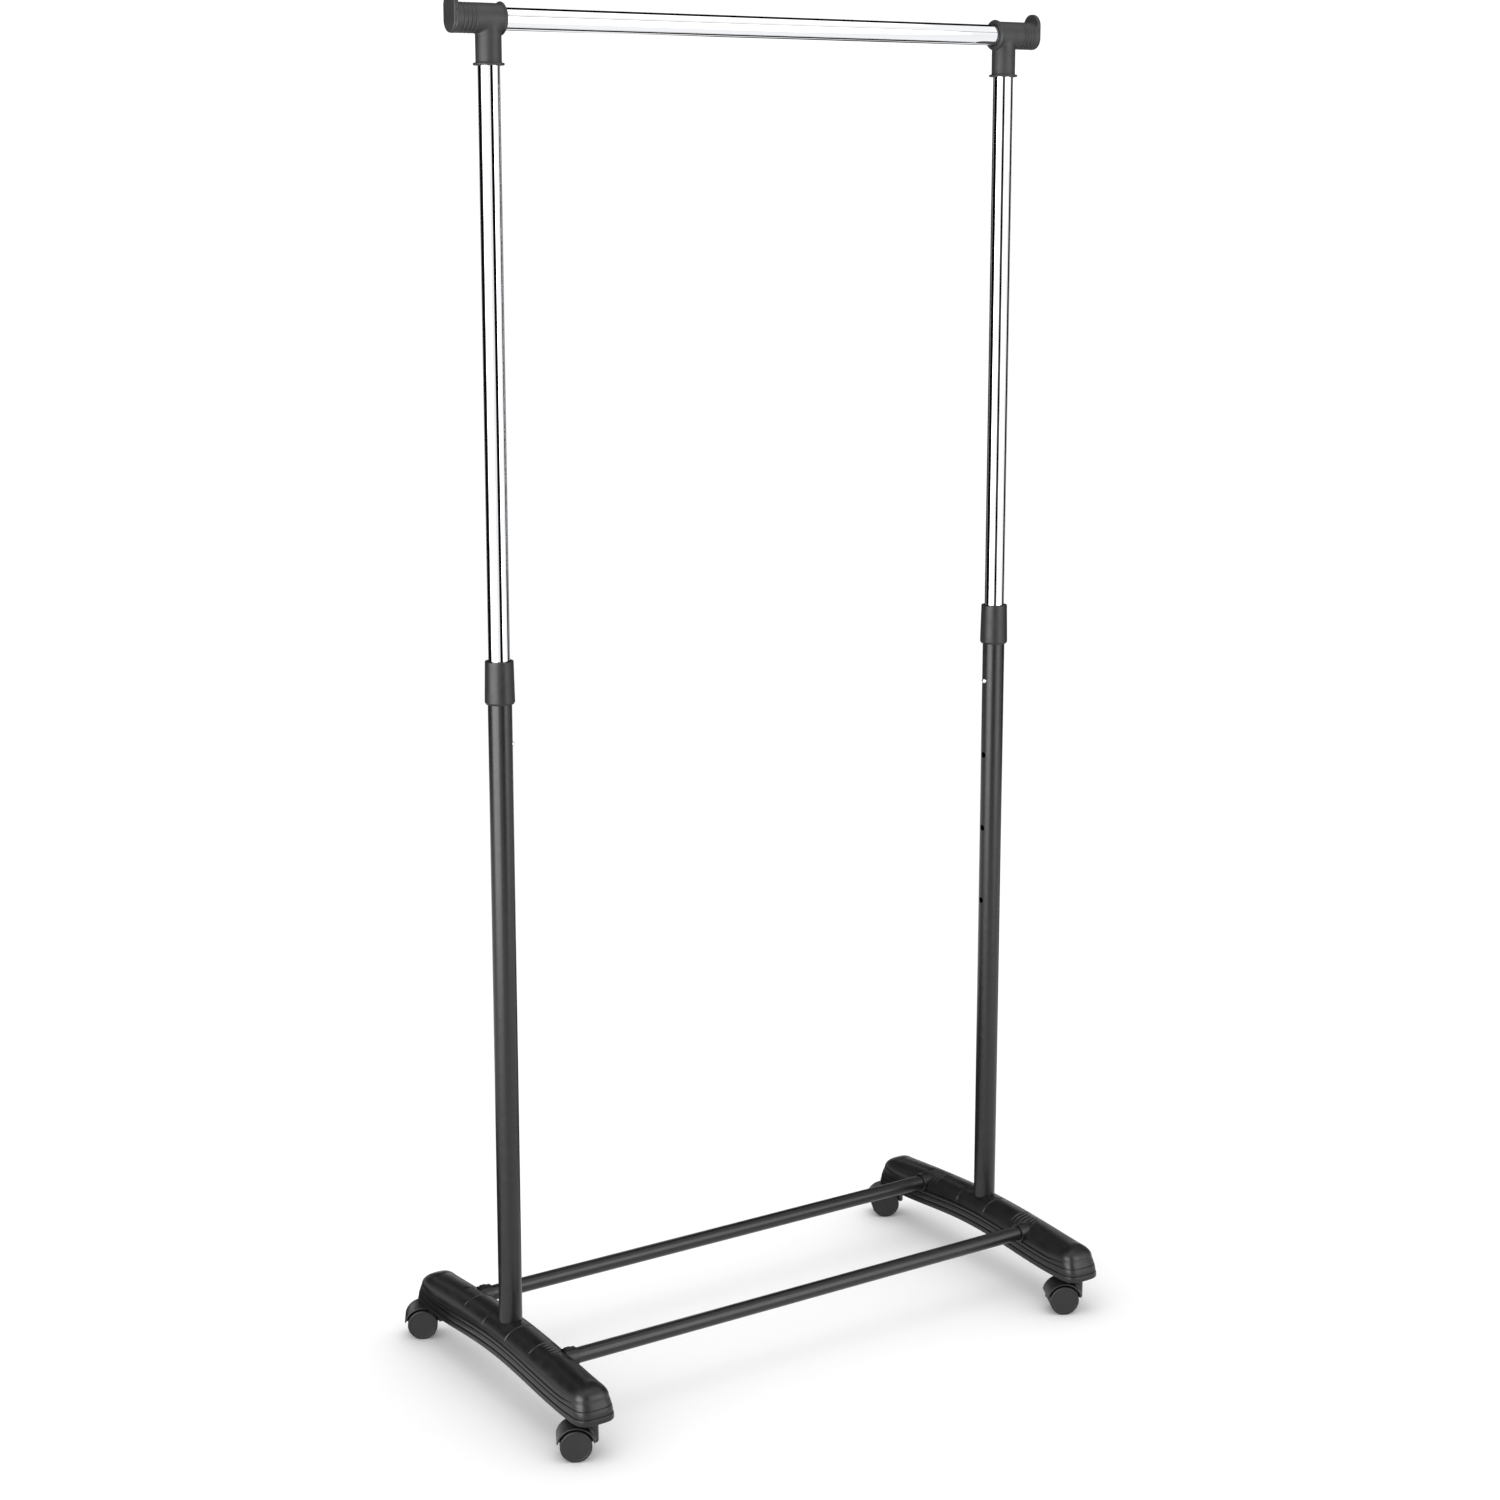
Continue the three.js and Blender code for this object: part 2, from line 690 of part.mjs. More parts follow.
function addCaster(corner, x, y) {
  const caster = new THREE.Group();
  caster.position.set(x, y, 0);
  caster.rotation.z = ((casterRestAngle - 180) * Math.PI) / 180;
  rack.add(caster);
  addPiece(`caster_sleeve_${corner}`, sleeveGeometry(), "zincSteel", caster);
  addPiece(`caster_stem_${corner}`, stemGeometry(), "zincSteel", caster);
  addPiece(`caster_hood_${corner}`, toGeometry(hoodSolid()), "blackPlastic", caster);
  const axleReach = wheelInside + axleGrip;
  const axle = addPiece(
    `caster_axle_${corner}`,
    alongY(disc(axleDiameter / 2, -axleReach, axleReach, smallSides)),
    "zincSteel",
    caster,
  );
  axle.position.set(-casterTrail, 0, wheelRadius);
  const backWheel = addPiece(`wheel_${corner}_back`, alongY(wheelGeometry()), "wheelPlastic", caster);
  backWheel.position.set(-casterTrail, 0, wheelRadius);
  const frontWheel = addPiece(`wheel_${corner}_front`, alongY(wheelGeometry()), "wheelPlastic", caster);
  frontWheel.position.set(-casterTrail, 0, wheelRadius);
  frontWheel.rotation.z = Math.PI;
}

addCaster("left_front", -uprightX, -casterY);
addCaster("left_back", -uprightX, casterY);
addCaster("right_front", uprightX, -casterY);
addCaster("right_back", uprightX, casterY);

export default rack;
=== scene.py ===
import json
import math

import bmesh
import bpy
import numpy as np
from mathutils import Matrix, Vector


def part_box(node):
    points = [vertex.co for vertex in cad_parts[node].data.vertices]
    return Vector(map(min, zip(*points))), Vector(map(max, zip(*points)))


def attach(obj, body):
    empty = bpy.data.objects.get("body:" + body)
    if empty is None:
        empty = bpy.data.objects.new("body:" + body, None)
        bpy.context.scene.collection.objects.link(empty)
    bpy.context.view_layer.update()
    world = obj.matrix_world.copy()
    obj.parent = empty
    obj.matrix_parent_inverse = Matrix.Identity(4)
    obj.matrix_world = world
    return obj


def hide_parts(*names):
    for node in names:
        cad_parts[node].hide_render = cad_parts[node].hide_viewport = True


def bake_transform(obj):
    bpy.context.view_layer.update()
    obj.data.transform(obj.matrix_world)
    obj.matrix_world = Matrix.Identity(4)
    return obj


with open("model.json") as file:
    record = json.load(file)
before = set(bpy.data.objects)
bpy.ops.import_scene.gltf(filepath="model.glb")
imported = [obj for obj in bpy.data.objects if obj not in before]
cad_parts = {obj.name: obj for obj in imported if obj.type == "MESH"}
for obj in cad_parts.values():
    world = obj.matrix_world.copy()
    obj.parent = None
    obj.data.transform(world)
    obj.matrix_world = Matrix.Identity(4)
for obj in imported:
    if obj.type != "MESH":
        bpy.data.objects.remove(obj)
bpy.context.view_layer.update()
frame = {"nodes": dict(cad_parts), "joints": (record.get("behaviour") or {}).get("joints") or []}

import openvdb
from mathutils import Matrix, Vector

MM = 0.001
SIDES = ("left", "right")
CORNERS = ("left_front", "left_back", "right_front", "right_back")
OUTWARD = {"left": -1, "right": 1}

# ---------------------------------------------------------------- sizes that the frame can't give

FIT_GAP = 0.3 * MM
TUBE_WALL = 1.0 * MM
FOOT_WALL = 2.6 * MM
FOOT_ARCH_RISE = 10 * MM
FOOT_RIDGE_FALL = 9 * MM
FOOT_RIDGE_INSET = 34 * MM
FOOT_HALF_WIDTH = 26 * MM
HOLE_PITCH = 100 * MM
HOLE_COUNT = 4
LOWER_TUBE_WALL = 0.9 * MM
LOWER_HOLE_RADIUS = 4 * MM
UPPER_HOLE_RADIUS = 3.8 * MM
HOLE_ROW_REACH = 7 * MM

# ---------------------------------------------------------------- meshes


def link_mesh(name, mesh):
    """A new object that holds the mesh, in the scene."""
    obj = bpy.data.objects.new(name, mesh)
    bpy.context.scene.collection.objects.link(obj)
    return obj


def mesh_object(name, points, faces):
    mesh = bpy.data.meshes.new(name)
    mesh.from_pydata([tuple(p) for p in points], [], [tuple(f) for f in faces])
    mesh.validate()
    mesh.update()
    return link_mesh(name, mesh)


def smooth(obj, degrees=32):
    """Smooth shading, with edges sharper than this angle left crisp."""
    mesh = obj.data
    mesh.polygons.foreach_set("use_smooth", [True] * len(mesh.polygons))
    mesh.set_sharp_from_angle(angle=math.radians(degrees))
    return obj


def move(obj, matrix):
    """Moves the mesh itself, so that the object stays at the origin."""
    obj.data.transform(matrix)
    if matrix.determinant() < 0:
        obj.data.flip_normals()
    obj.data.update()
    return obj


def at(obj, x, y, z):
    return move(obj, Matrix.Translation((x, y, z)))


def copy_of(obj, name, matrix):
    """A copy of a piece, moved or mirrored by the matrix."""
    return move(link_mesh(name, obj.data.copy()), matrix)


def remove(obj):
    mesh = obj.data
    bpy.data.objects.remove(obj)
    bpy.data.meshes.remove(mesh)


def joined(name, objects):
    """One object that holds all the meshes given, which are removed."""
    points, faces = [], []
    for obj in objects:
        start = len(points)
        points += [v.co[:] for v in obj.data.vertices]
        faces += [[start + i for i in p.vertices] for p in obj.data.polygons]
        remove(obj)
    return mesh_object(name, points, faces)


def weld(obj):
    """Merges points that lie on each other, and turns all faces outwards."""
    work = bmesh.new()
    work.from_mesh(obj.data)
    bmesh.ops.remove_doubles(work, verts=work.verts, dist=1e-6)
    bmesh.ops.recalc_face_normals(work, faces=work.faces)
    work.to_mesh(obj.data)
    work.free()
    obj.data.update()


def boolean(obj, operation, others):
    """Joins, cuts or intersects obj with other closed meshes, which are removed."""
    tool = others[0] if len(others) == 1 else joined(obj.name + "_tool", others)
    modifier = obj.modifiers.new("cut", "BOOLEAN")
    modifier.operation = operation
    modifier.solver = "MANIFOLD"
    modifier.object = tool
    bpy.context.view_layer.update()
    result = bpy.data.meshes.new_from_object(obj.evaluated_get(bpy.context.evaluated_depsgraph_get()))
    obj.modifiers.clear()
    old = obj.data
    obj.data = result
    bpy.data.meshes.remove(old)
    remove(tool)
    return obj


def rounded(outline, radius, steps=4, closed=True):
    """The outline with each corner turned into an arc of the radius, or of less on a short side."""
    count = len(outline)
    result = []
    for i, corner in enumerate(outline):
        if not closed and i in (0, count - 1):
            result.append(tuple(corner))
            continue
        here = Vector(corner)
        before = Vector(outline[i - 1]) - here
        after = Vector(outline[(i + 1) % count]) - here
        turn = before.angle(after)
        reach = radius / math.tan(turn / 2)
        reach = min(reach, 0.45 * before.length, 0.45 * after.length)
        start = here + before.normalized() * reach
        end = here + after.normalized() * reach
        for step in range(steps + 1):
            t = step / steps
            result.append(tuple((1 - t) ** 2 * start + 2 * t * (1 - t) * here + t**2 * end))
    return result


def lathe(name, profile, sides=96, closed=False):
    """A solid turned about Z. The profile is a list of (radius, z): closed on itself, or from axis
    to axis, going up the outside."""
    points, faces = [], []
    rings = []
    for radius, z in profile:
        if radius < 1e-7:
            rings.append([len(points)] * sides)
            points.append((0, 0, z))
            continue
        rings.append(list(range(len(points), len(points) + sides)))
        for i in range(sides):
            turn = 2 * math.pi * i / sides
            points.append((radius * math.cos(turn), radius * math.sin(turn), z))
    pairs = list(zip(rings, rings[1:]))
    if closed:
        pairs.append((rings[-1], rings[0]))
    for low, high in pairs:
        for i in range(sides):
            j = (i + 1) % sides
            face = [low[i], low[j], high[j], high[i]]
            face = [v for k, v in enumerate(face) if v != face[k - 1]]
            if len(face) > 2:
                faces.append(face)
    return mesh_object(name, points, faces)


def disc_profile(radius, bottom, top):
    return [(0, bottom), (radius, bottom), (radius, top), (0, top)]


def upright(name, bore, radius, bottom, top, rows=(), sides=96, rim=0.25 * MM):
    """A tube about Z with softened rims, and extra rings of points at the rows."""
    outside = [(radius, bottom + rim)] + [(radius, z) for z in rows] + [(radius, top - rim)]
    profile = [(bore, top), (bore, bottom), (radius - rim, bottom)] + outside + [(radius - rim, top)]
    return lathe(name, profile, sides, closed=True)


TO_X = Matrix.Rotation(math.pi / 2, 4, "Y")
TO_Y = Matrix.Rotation(-math.pi / 2, 4, "X")


def block(name, low, high):
    points = [(x, y, z) for x in (low[0], high[0]) for y in (low[1], high[1]) for z in (low[2], high[2])]
    faces = [(0, 1, 3, 2), (4, 6, 7, 5), (0, 4, 5, 1), (2, 3, 7, 6), (0, 2, 6, 4), (1, 5, 7, 3)]
    return mesh_object(name, points, faces)


# ---------------------------------------------------------------- solids from distance fields

FIELD_MARGIN = 2 * MM
SMOOTH_ALL = 180


def field_object(name, distance, low, high, pitch):
    """The surface where distance(x, y, z) is zero, in a box from low to high, as a closed mesh."""
    counts = [int(math.ceil((b - a) / pitch)) + 1 for a, b in zip(low, high)]
    axes = [a + pitch * np.arange(n) for a, n in zip(low, counts)]
    values = distance(*np.meshgrid(*axes, indexing="ij")).astype(np.float32)
    reach = 3 * pitch
    grid = openvdb.FloatGrid(reach)
    grid.copyFromArray(np.clip(values, -reach, reach) / pitch)
    points, triangles, quads = grid.convertToPolygons(isovalue=0.0, adaptivity=0.0)
    points = np.array(low) + points * pitch
    # the grid's faces point in, so each one is turned round
    faces = [list(f[::-1]) for f in quads] + [list(f[::-1]) for f in triangles]
    return mesh_object(name, points, faces)


def capped(across, along_low, along_high):
    """Distance to what lies inside across (a distance in a plane) and between two ends, which are
    given as the distances past each end."""
    along = np.maximum(along_low, along_high)
    outside = np.hypot(np.maximum(across, 0), np.maximum(along, 0))
    return outside + np.minimum(np.maximum(across, along), 0)


def merge(a, b, fillet=0.0):
    """Union of two distances, with a fillet of about this radius where they meet."""
    if fillet <= 0:
        return np.minimum(a, b)
    near = np.clip(0.5 + 0.5 * (b - a) / fillet, 0, 1)
    return b + (a - b) * near - fillet * near * (1 - near)


def cut(a, b, fillet=0.0):
    return -merge(-a, b, fillet)


# ---------------------------------------------------------------- materials


def material(name, colour, roughness, metallic=0.0, specular=0.5, coat=0.0):
    """A material with a Principled shader, and its node tree's parts to build on."""
    made = bpy.data.materials.new(name)
    made.use_nodes = True
    nodes = made.node_tree.nodes
    shader = nodes["Principled BSDF"]
    shader.inputs["Base Color"].default_value = (*colour, 1)
    shader.inputs["Roughness"].default_value = roughness
    shader.inputs["Metallic"].default_value = metallic
    shader.inputs["Specular IOR Level"].default_value = specular
    shader.inputs["Coat Weight"].default_value = coat
    shader.inputs["Coat Roughness"].default_value = 0.2
    return made


def noise(made, scale, detail=3.0, stretch=(1, 1, 1)):
    """A noise texture in the piece's own space. The scale is in waves per metre."""
    nodes, links = made.node_tree.nodes, made.node_tree.links
    place = nodes.new("ShaderNodeTexCoord")
    mapping = nodes.new("ShaderNodeMapping")
    mapping.inputs["Scale"].default_value = stretch
    texture = nodes.new("ShaderNodeTexNoise")
    texture.inputs["Scale"].default_value = scale
    texture.inputs["Detail"].default_value = detail
    links.new(place.outputs["Object"], mapping.inputs["Vector"])
    links.new(mapping.outputs["Vector"], texture.inputs["Vector"])
    return texture.outputs["Fac"]


def spread(made, value, low, high):
    """Maps the middle of a noise to a range."""
    node = made.node_tree.nodes.new("ShaderNodeMapRange")
    node.inputs["From Min"].default_value = 0.3
    node.inputs["From Max"].default_value = 0.7
    node.inputs["To Min"].default_value = low
    node.inputs["To Max"].default_value = high
    made.node_tree.links.new(value, node.inputs["Value"])
    return node.outputs["Result"]


def vary_roughness(made, value, low, high):
    shader = made.node_tree.nodes["Principled BSDF"]
    made.node_tree.links.new(spread(made, value, low, high), shader.inputs["Roughness"])


def vary_colour(made, value, dark, light):
    """Blends between two colours by a noise."""
    nodes, links = made.node_tree.nodes, made.node_tree.links
    ramp = nodes.new("ShaderNodeValToRGB")
    ramp.color_ramp.elements[0].position = 0.3
    ramp.color_ramp.elements[0].color = (*dark, 1)
    ramp.color_ramp.elements[1].position = 0.7
    ramp.color_ramp.elements[1].color = (*light, 1)
    links.new(value, ramp.inputs["Fac"])
    links.new(ramp.outputs["Color"], nodes["Principled BSDF"].inputs["Base Color"])


def bump(made, value, depth, strength=1.0):
    """Raises the surface by the noise, over a depth in metres. A second bump goes on the first."""
    nodes, links = made.node_tree.nodes, made.node_tree.links
    shader = nodes["Principled BSDF"]
    node = nodes.new("ShaderNodeBump")
    node.inputs["Distance"].default_value = depth
    node.inputs["Strength"].default_value = strength
    links.new(value, node.inputs["Height"])
    if shader.inputs["Normal"].links:
        links.new(shader.inputs["Normal"].links[0].from_socket, node.inputs["Normal"])
    links.new(node.outputs["Normal"], shader.inputs["Normal"])


def moulded_plastic(name, shade, roughness, grain=2600, grain_depth=0.02 * MM):
    """Black plastic from a textured mould: a fine grain, and slow changes of gloss."""
    made = material(name, (shade, shade, shade * 1.03), roughness, specular=0.4)
    vary_colour(
        made,
        noise(made, 45, 4),
        (shade * 0.85, shade * 0.85, shade * 0.88),
        (shade * 1.18, shade * 1.18, shade * 1.21),
    )
    vary_roughness(made, noise(made, 70, 5), roughness - 0.05, roughness + 0.06)
    bump(made, noise(made, 160, 2), 0.05 * MM, 0.5)
    bump(made, noise(made, grain, 2), grain_depth)
    return made


def powder_coat():
    """Satin black coating on steel tube, with a faint orange peel."""
    made = material("powder_coat", (0.01, 0.01, 0.0105), 0.3, specular=0.45)
    vary_colour(made, noise(made, 120, 4), (0.008, 0.008, 0.0085), (0.012, 0.012, 0.0125))
    vary_roughness(made, noise(made, 90, 4), 0.27, 0.33)
    bump(made, noise(made, 1100, 2), 0.012 * MM, 0.8)
    return made


def chrome_plate(name, stretch):
    """Bright chrome on drawn tube, with faint drawing marks along the tube."""
    made = material(name, (0.83, 0.84, 0.855), 0.0, metallic=1.0)
    vary_roughness(made, noise(made, 900, 3, stretch), 0.0, 0.003)
    bump(made, noise(made, 60, 2, stretch), 0.004 * MM, 0.5)
    return made


def plated_steel(name, shade, roughness):
    """Zinc plate or bare spring steel, with a mottled gloss."""
    made = material(name, (shade, shade * 1.01, shade * 1.02), roughness, metallic=1.0)
    vary_colour(
        made,
        noise(made, 300, 4),
        (shade * 0.88, shade * 0.89, shade * 0.9),
        (shade * 1.1, shade * 1.1, shade * 1.08),
    )
    vary_roughness(made, noise(made, 500, 4), roughness - 0.08, roughness + 0.1)
    bump(made, noise(made, 1500, 2), 0.01 * MM, 0.6)
    return made


ALONG_X = (0.02, 1, 1)
ALONG_Z = (1, 1, 0.02)

foot_plastic = moulded_plastic("foot_plastic", 0.008, 0.36)
collar_plastic = moulded_plastic("collar_plastic", 0.016, 0.42)
tee_plastic = moulded_plastic("tee_plastic", 0.03, 0.5)
caster_plastic = moulded_plastic("caster_plastic", 0.009, 0.36)
wheel_plastic = moulded_plastic("wheel_plastic", 0.014, 0.55, 1800, 0.04 * MM)
black_tube = powder_coat()
chrome_upright = chrome_plate("chrome_upright", ALONG_Z)
chrome_rail = chrome_plate("chrome_rail", ALONG_X)
button_chrome = chrome_plate("button_chrome", (1, 1, 1))
zinc_steel = plated_steel("zinc_steel", 0.58, 0.32)
spring_steel = plated_steel("spring_steel", 0.42, 0.28)
nylon = moulded_plastic("natural_nylon", 0.62, 0.5)


def finish_piece(obj, look, body, nodes, degrees=32):
    """Shades a piece, gives it its material and lets it stand for its CAD nodes. A piece that
    bends between two bodies has no body of its own here."""
    smooth(obj, degrees)
    obj.data.materials.clear()
    obj.data.materials.append(look)
    if body:
        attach(obj, body)
    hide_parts(*nodes)
    return obj


def repaint(node, look):
    """A CAD node whose shape is right keeps it, with a better material."""
    obj = frame["nodes"][node]
    for place in obj.material_slots:
        place.material = look


# ---------------------------------------------------------------- places in the frame


def centre(node):
    low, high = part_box(node)
    return (low + high) / 2


def joint(name):
    return next(j for j in frame["joints"] if j["name"] == name)


upright_x = centre("lower_tube_right").x
rail_z = centre("hanging_rail").z

# ---------------------------------------------------------------- feet

# Three grooves run right round the foot's wall, with a soft swell between each two. These heights
# above the foot's lower edge, depths and widths are in mm.
GROOVE_DEPTH = 1.15
GROOVE_LOW = 7.2
GROOVE_MIDDLE = 15.3
GROOVE_HIGH = 21.0
GROOVE_HALF_WIDTH = 0.75
GROOVE_FLOOR = 0.3
LOW_SWELL = 1.0
HIGH_SWELL = 0.45
WALL_HEIGHT = 22.1
NOSE_WALL_HEIGHT = 25.5

# The noses, the dome's ribs and the single groove on each side of the upright, in metres. The wall
# rises and its grooves fade towards each nose.
NOSE_RISE_START = 0.160
NOSE_RISE_END = 0.204
NOSE_LENGTH = 0.027
NOSE_POWER = 3.3
WALL_LEAN = 0.8 * MM
NOSE_LEAN = 2.5 * MM
NOSE_INSET = 6.5 * MM
NOSE_STRETCH = 0.12
NOSE_FADE = 0.4
NOSE_TOP_FADE = 0.85
LEAN_POWER = 2
DOME_STEPS = 16
HIDDEN_DOME_STEPS = 8
NOSE_STEPS = 22
COARSE_STATIONS = 101
FINE_STEP = 0.55 * MM
NEAREST_STATION = 0.3 * MM
EDGE_RUN_OUT = 30 * MM
RIB_OUTER_END = -5 * MM
LONG_RIB_OUTER_END = -21 * MM
RIB_INNER_END = 19 * MM
RIB_FADE = 2 * MM
RIB_COUNT = 6
RIB_PITCH = 6.4 * MM
RIB_START = 0.083
RIB_DEPTH = 1.5 * MM
RIB_HALF_WIDTH = 1.5 * MM
CROSS_GROOVE_Y = 0.029
CROSS_GROOVE_DEPTH = 1.2 * MM
CROSS_GROOVE_HALF_WIDTH = 1.1 * MM

foot_low, foot_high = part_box("foot_right")
foot_half_length = foot_high.y
foot_edge_end = foot_low.z
foot_edge_middle = foot_edge_end + FOOT_ARCH_RISE
foot_ridge_middle = foot_high.z


def ease(t):
    t = min(1.0, max(0.0, t))
    return t * t * (3 - 2 * t)


def foot_edge_z(y):
    share = min(1.0, abs(y) / (foot_half_length - EDGE_RUN_OUT))
    return foot_edge_middle - FOOT_ARCH_RISE * (1 - math.cos(share * math.pi)) / 2


def foot_ridge_z(y):
    share = min(1.0, abs(y) / (foot_half_length - FOOT_RIDGE_INSET))
    return foot_ridge_middle - FOOT_RIDGE_FALL * share * share


def wall_levels():
    """The wall's outline, as (height above the edge, how far it stands proud), in mm."""
    start = 0.5
    levels = [(0.0, 0.3), (start, 0.9)]
    for groove in (GROOVE_LOW, GROOVE_MIDDLE, GROOVE_HIGH):
        bottom, top = groove - GROOVE_HALF_WIDTH, groove + GROOVE_HALF_WIDTH
        swell = LOW_SWELL if groove == GROOVE_LOW else HIGH_SWELL
        for share in (0.25, 0.5, 0.75):
            height = start + (bottom - start) * share
            levels.append((height, swell * (0.7 + 0.3 * math.sin(share * math.pi))))
        levels += [
            (bottom, swell * 0.6),
            (groove - GROOVE_FLOOR, -GROOVE_DEPTH),
            (groove + GROOVE_FLOOR, -GROOVE_DEPTH),
            (top, 0.15),
        ]
        start = top
    return levels


def side_stations():
    """Places along the straight side, close together where ribs and grooves cross it."""
    end = foot_half_length - NOSE_LENGTH
    coarse = list(np.linspace(-end, end, COARSE_STATIONS))
    rib_end = RIB_START + RIB_PITCH * (RIB_COUNT - 1)
    stretches = (
        (RIB_START - 2 * RIB_HALF_WIDTH, rib_end + 2 * RIB_HALF_WIDTH),
        (CROSS_GROOVE_Y - 2 * CROSS_GROOVE_HALF_WIDTH, CROSS_GROOVE_Y + 2 * CROSS_GROOVE_HALF_WIDTH),
    )
    fine = []
    for sign in (-1, 1):
        for low, high in stretches:
            fine += [sign * y for y in np.arange(low, high, FINE_STEP)]
    kept = [y for y in coarse if min(abs(y - f) for f in fine) > NEAREST_STATION]
    return sorted(kept + fine)


def foot_outline():
    """The lower edge seen from above: straight sides, and noses rounded as superellipses."""
    end = foot_half_length - NOSE_LENGTH
    nose = []
    for i in range(NOSE_STEPS + 1):
        turn = (i / NOSE_STEPS) * (math.pi / 2)
        x = FOOT_HALF_WIDTH * math.cos(turn) ** (2 / NOSE_POWER)
        y = end + NOSE_LENGTH * math.sin(turn) ** (2 / NOSE_POWER)
        nose.append((x, y))
    right = [(FOOT_HALF_WIDTH, y) for y in side_stations()][1:-1]
    front = [(-x, y) for x, y in nose[::-1]][1:]
    rear = [(x, -y) for x, y in nose[::-1]][1:]
    left = [(-x, -y) for x, y in right]
    return right + nose + front + left + [(-x, -y) for x, y in nose] + rear


def dip(distance, half_width, depth):
    """Depth of a round-bottomed groove, at a distance from its middle."""
    return depth * max(0.0, 1 - (distance / half_width) ** 2) ** 0.5


def rib_dip(x, y):
    """Depth of the ribs and of the cross groove, on the dome. Positive x is the rack's inside."""
    depth = dip(abs(abs(y) - CROSS_GROOVE_Y), CROSS_GROOVE_HALF_WIDTH, CROSS_GROOVE_DEPTH)
    for i in range(RIB_COUNT):
        outer_end = LONG_RIB_OUTER_END if i == 0 else RIB_OUTER_END
        fade = min(ease((x - outer_end) / RIB_FADE), ease((RIB_INNER_END - x) / RIB_FADE))
        if fade > 0:
            middle = RIB_START + i * RIB_PITCH
            depth = max(depth, fade * dip(abs(abs(y) - middle), RIB_HALF_WIDTH, RIB_DEPTH))
    return depth


def foot_body(name, inset, drop, detailed):
    """A closed solid of the foot's outside, smaller by the inset, and reaching below its edge by
    the drop. The rack's inside is at positive x."""
    outline = foot_outline()
    levels = wall_levels() if detailed else [(0.0, 0.0), (WALL_HEIGHT / 2, 0.0)]
    dome_steps = DOME_STEPS if detailed else HIDDEN_DOME_STEPS
    spine_half = foot_half_length - FOOT_RIDGE_INSET
    side_end = foot_half_length - NOSE_LENGTH
    rows = len(levels) + dome_steps
    points = []
    for x0, y0 in outline:
        edge = foot_edge_z(y0)
        spine_y = max(-spine_half, min(spine_half, y0 * spine_half / side_end))
        ridge = foot_ridge_z(spine_y) - inset
        nose = ease((abs(y0) - NOSE_RISE_START) / (NOSE_RISE_END - NOSE_RISE_START))
        wall = (WALL_HEIGHT + (NOSE_WALL_HEIGHT - WALL_HEIGHT) * nose) * MM
        lean = WALL_LEAN + (NOSE_LEAN - WALL_LEAN) * nose
        shrink_x = 1 - inset / FOOT_HALF_WIDTH
        shrink_y = 1 - inset / foot_half_length
        for height, proud in levels:
            above_middle = max(0.0, height - GROOVE_MIDDLE) / (WALL_HEIGHT - GROOVE_MIDDLE)
            stretched = (1 + NOSE_STRETCH) * WALL_HEIGHT * MM
            z = height * MM * (1 + NOSE_STRETCH * nose) + above_middle * (wall - stretched) * nose
            up = z / wall
            on_top = height > GROOVE_MIDDLE + GROOVE_HALF_WIDTH
            fade = NOSE_TOP_FADE if on_top else NOSE_FADE
            out = proud * MM * (1 - fade * nose)
            inward = up**LEAN_POWER
            x = x0 * (1 - lean * inward / FOOT_HALF_WIDTH + out / FOOT_HALF_WIDTH) * shrink_x
            y = y0 * (1 - NOSE_INSET * inward / foot_half_length + out / foot_half_length) * shrink_y
            bottom = drop if height == 0 else 0.0
            points.append((x, y, edge + z - bottom))
        top_x = x0 * (1 - lean / FOOT_HALF_WIDTH) * shrink_x
        top_y = y0 * (1 - NOSE_INSET / foot_half_length) * shrink_y
        for i in range(dome_steps):
            turn = (i / (dome_steps - 1)) * (math.pi / 2)
            x = top_x * math.cos(turn)
            y = spine_y + (top_y - spine_y) * math.cos(turn)
            z = edge + wall + (ridge - edge - wall) * math.sin(turn)
            if detailed:
                z -= rib_dip(x, y)
            points.append((x, y, z))
    count = len(outline)
    faces = []
    for i in range(count):
        j = (i + 1) % count
        for row in range(rows - 1):
            faces.append((i * rows + row, j * rows + row, j * rows + row + 1, i * rows + row + 1))
    # the underside joins each place on one side to the same place on the other
    keyed = {(round(x, 6), round(y, 6)): i for i, (x, y) in enumerate(outline)}
    mirror = [keyed[(round(-x, 6) + 0.0, round(y, 6))] for x, y in outline]
    for i in range(count):
        j = (i + 1) % count
        a, b = mirror[i], mirror[j]
        if min(outline[i][0], outline[j][0]) > -1e-7:
            face = list(dict.fromkeys((i * rows, a * rows, b * rows, j * rows)))
            if len(face) > 2:
                faces.append(face)
    obj = mesh_object(name, points, faces)
    weld(obj)
    return obj


BAR_SOCKET_WALL = 2.4 * MM
BAR_SOCKET_PROUD = 3 * MM
BAR_SOCKET_COVER = 13 * MM
BAR_SOCKET_DEPTH = 16 * MM
BAR_SOCKET_RIM = 0.5 * MM
BAR_SOCKET_BOTTOM = 2.4 * MM
SOCKET_WALL = 3 * MM
SOCKET_FLOOR = 5 * MM
TAB_HALF_WIDTH = 3.2 * MM
TAB_RISE = 0.8 * MM
TAB_HEIGHT = 4 * MM
TAB_START = 11 * MM
TAB_END = 3.5 * MM
SLEEVE_RADIUS = 5.5 * MM
SLEEVE_BOSS_WALL = 2.5 * MM
SLEEVE_BOSS_LIFT = 1.5 * MM
STEM_ROOM = 2 * MM
BOLT_HOLE_RADIUS = 3.3 * MM
FOOT_SMOOTH_ANGLE = 26
HOLLOW_DROP = 60 * MM


def disc_at(name, radius, bottom, top, x=0.0, y=0.0, sides=64):
    return at(lathe(name, disc_profile(radius, bottom, top), sides), x, y, 0)


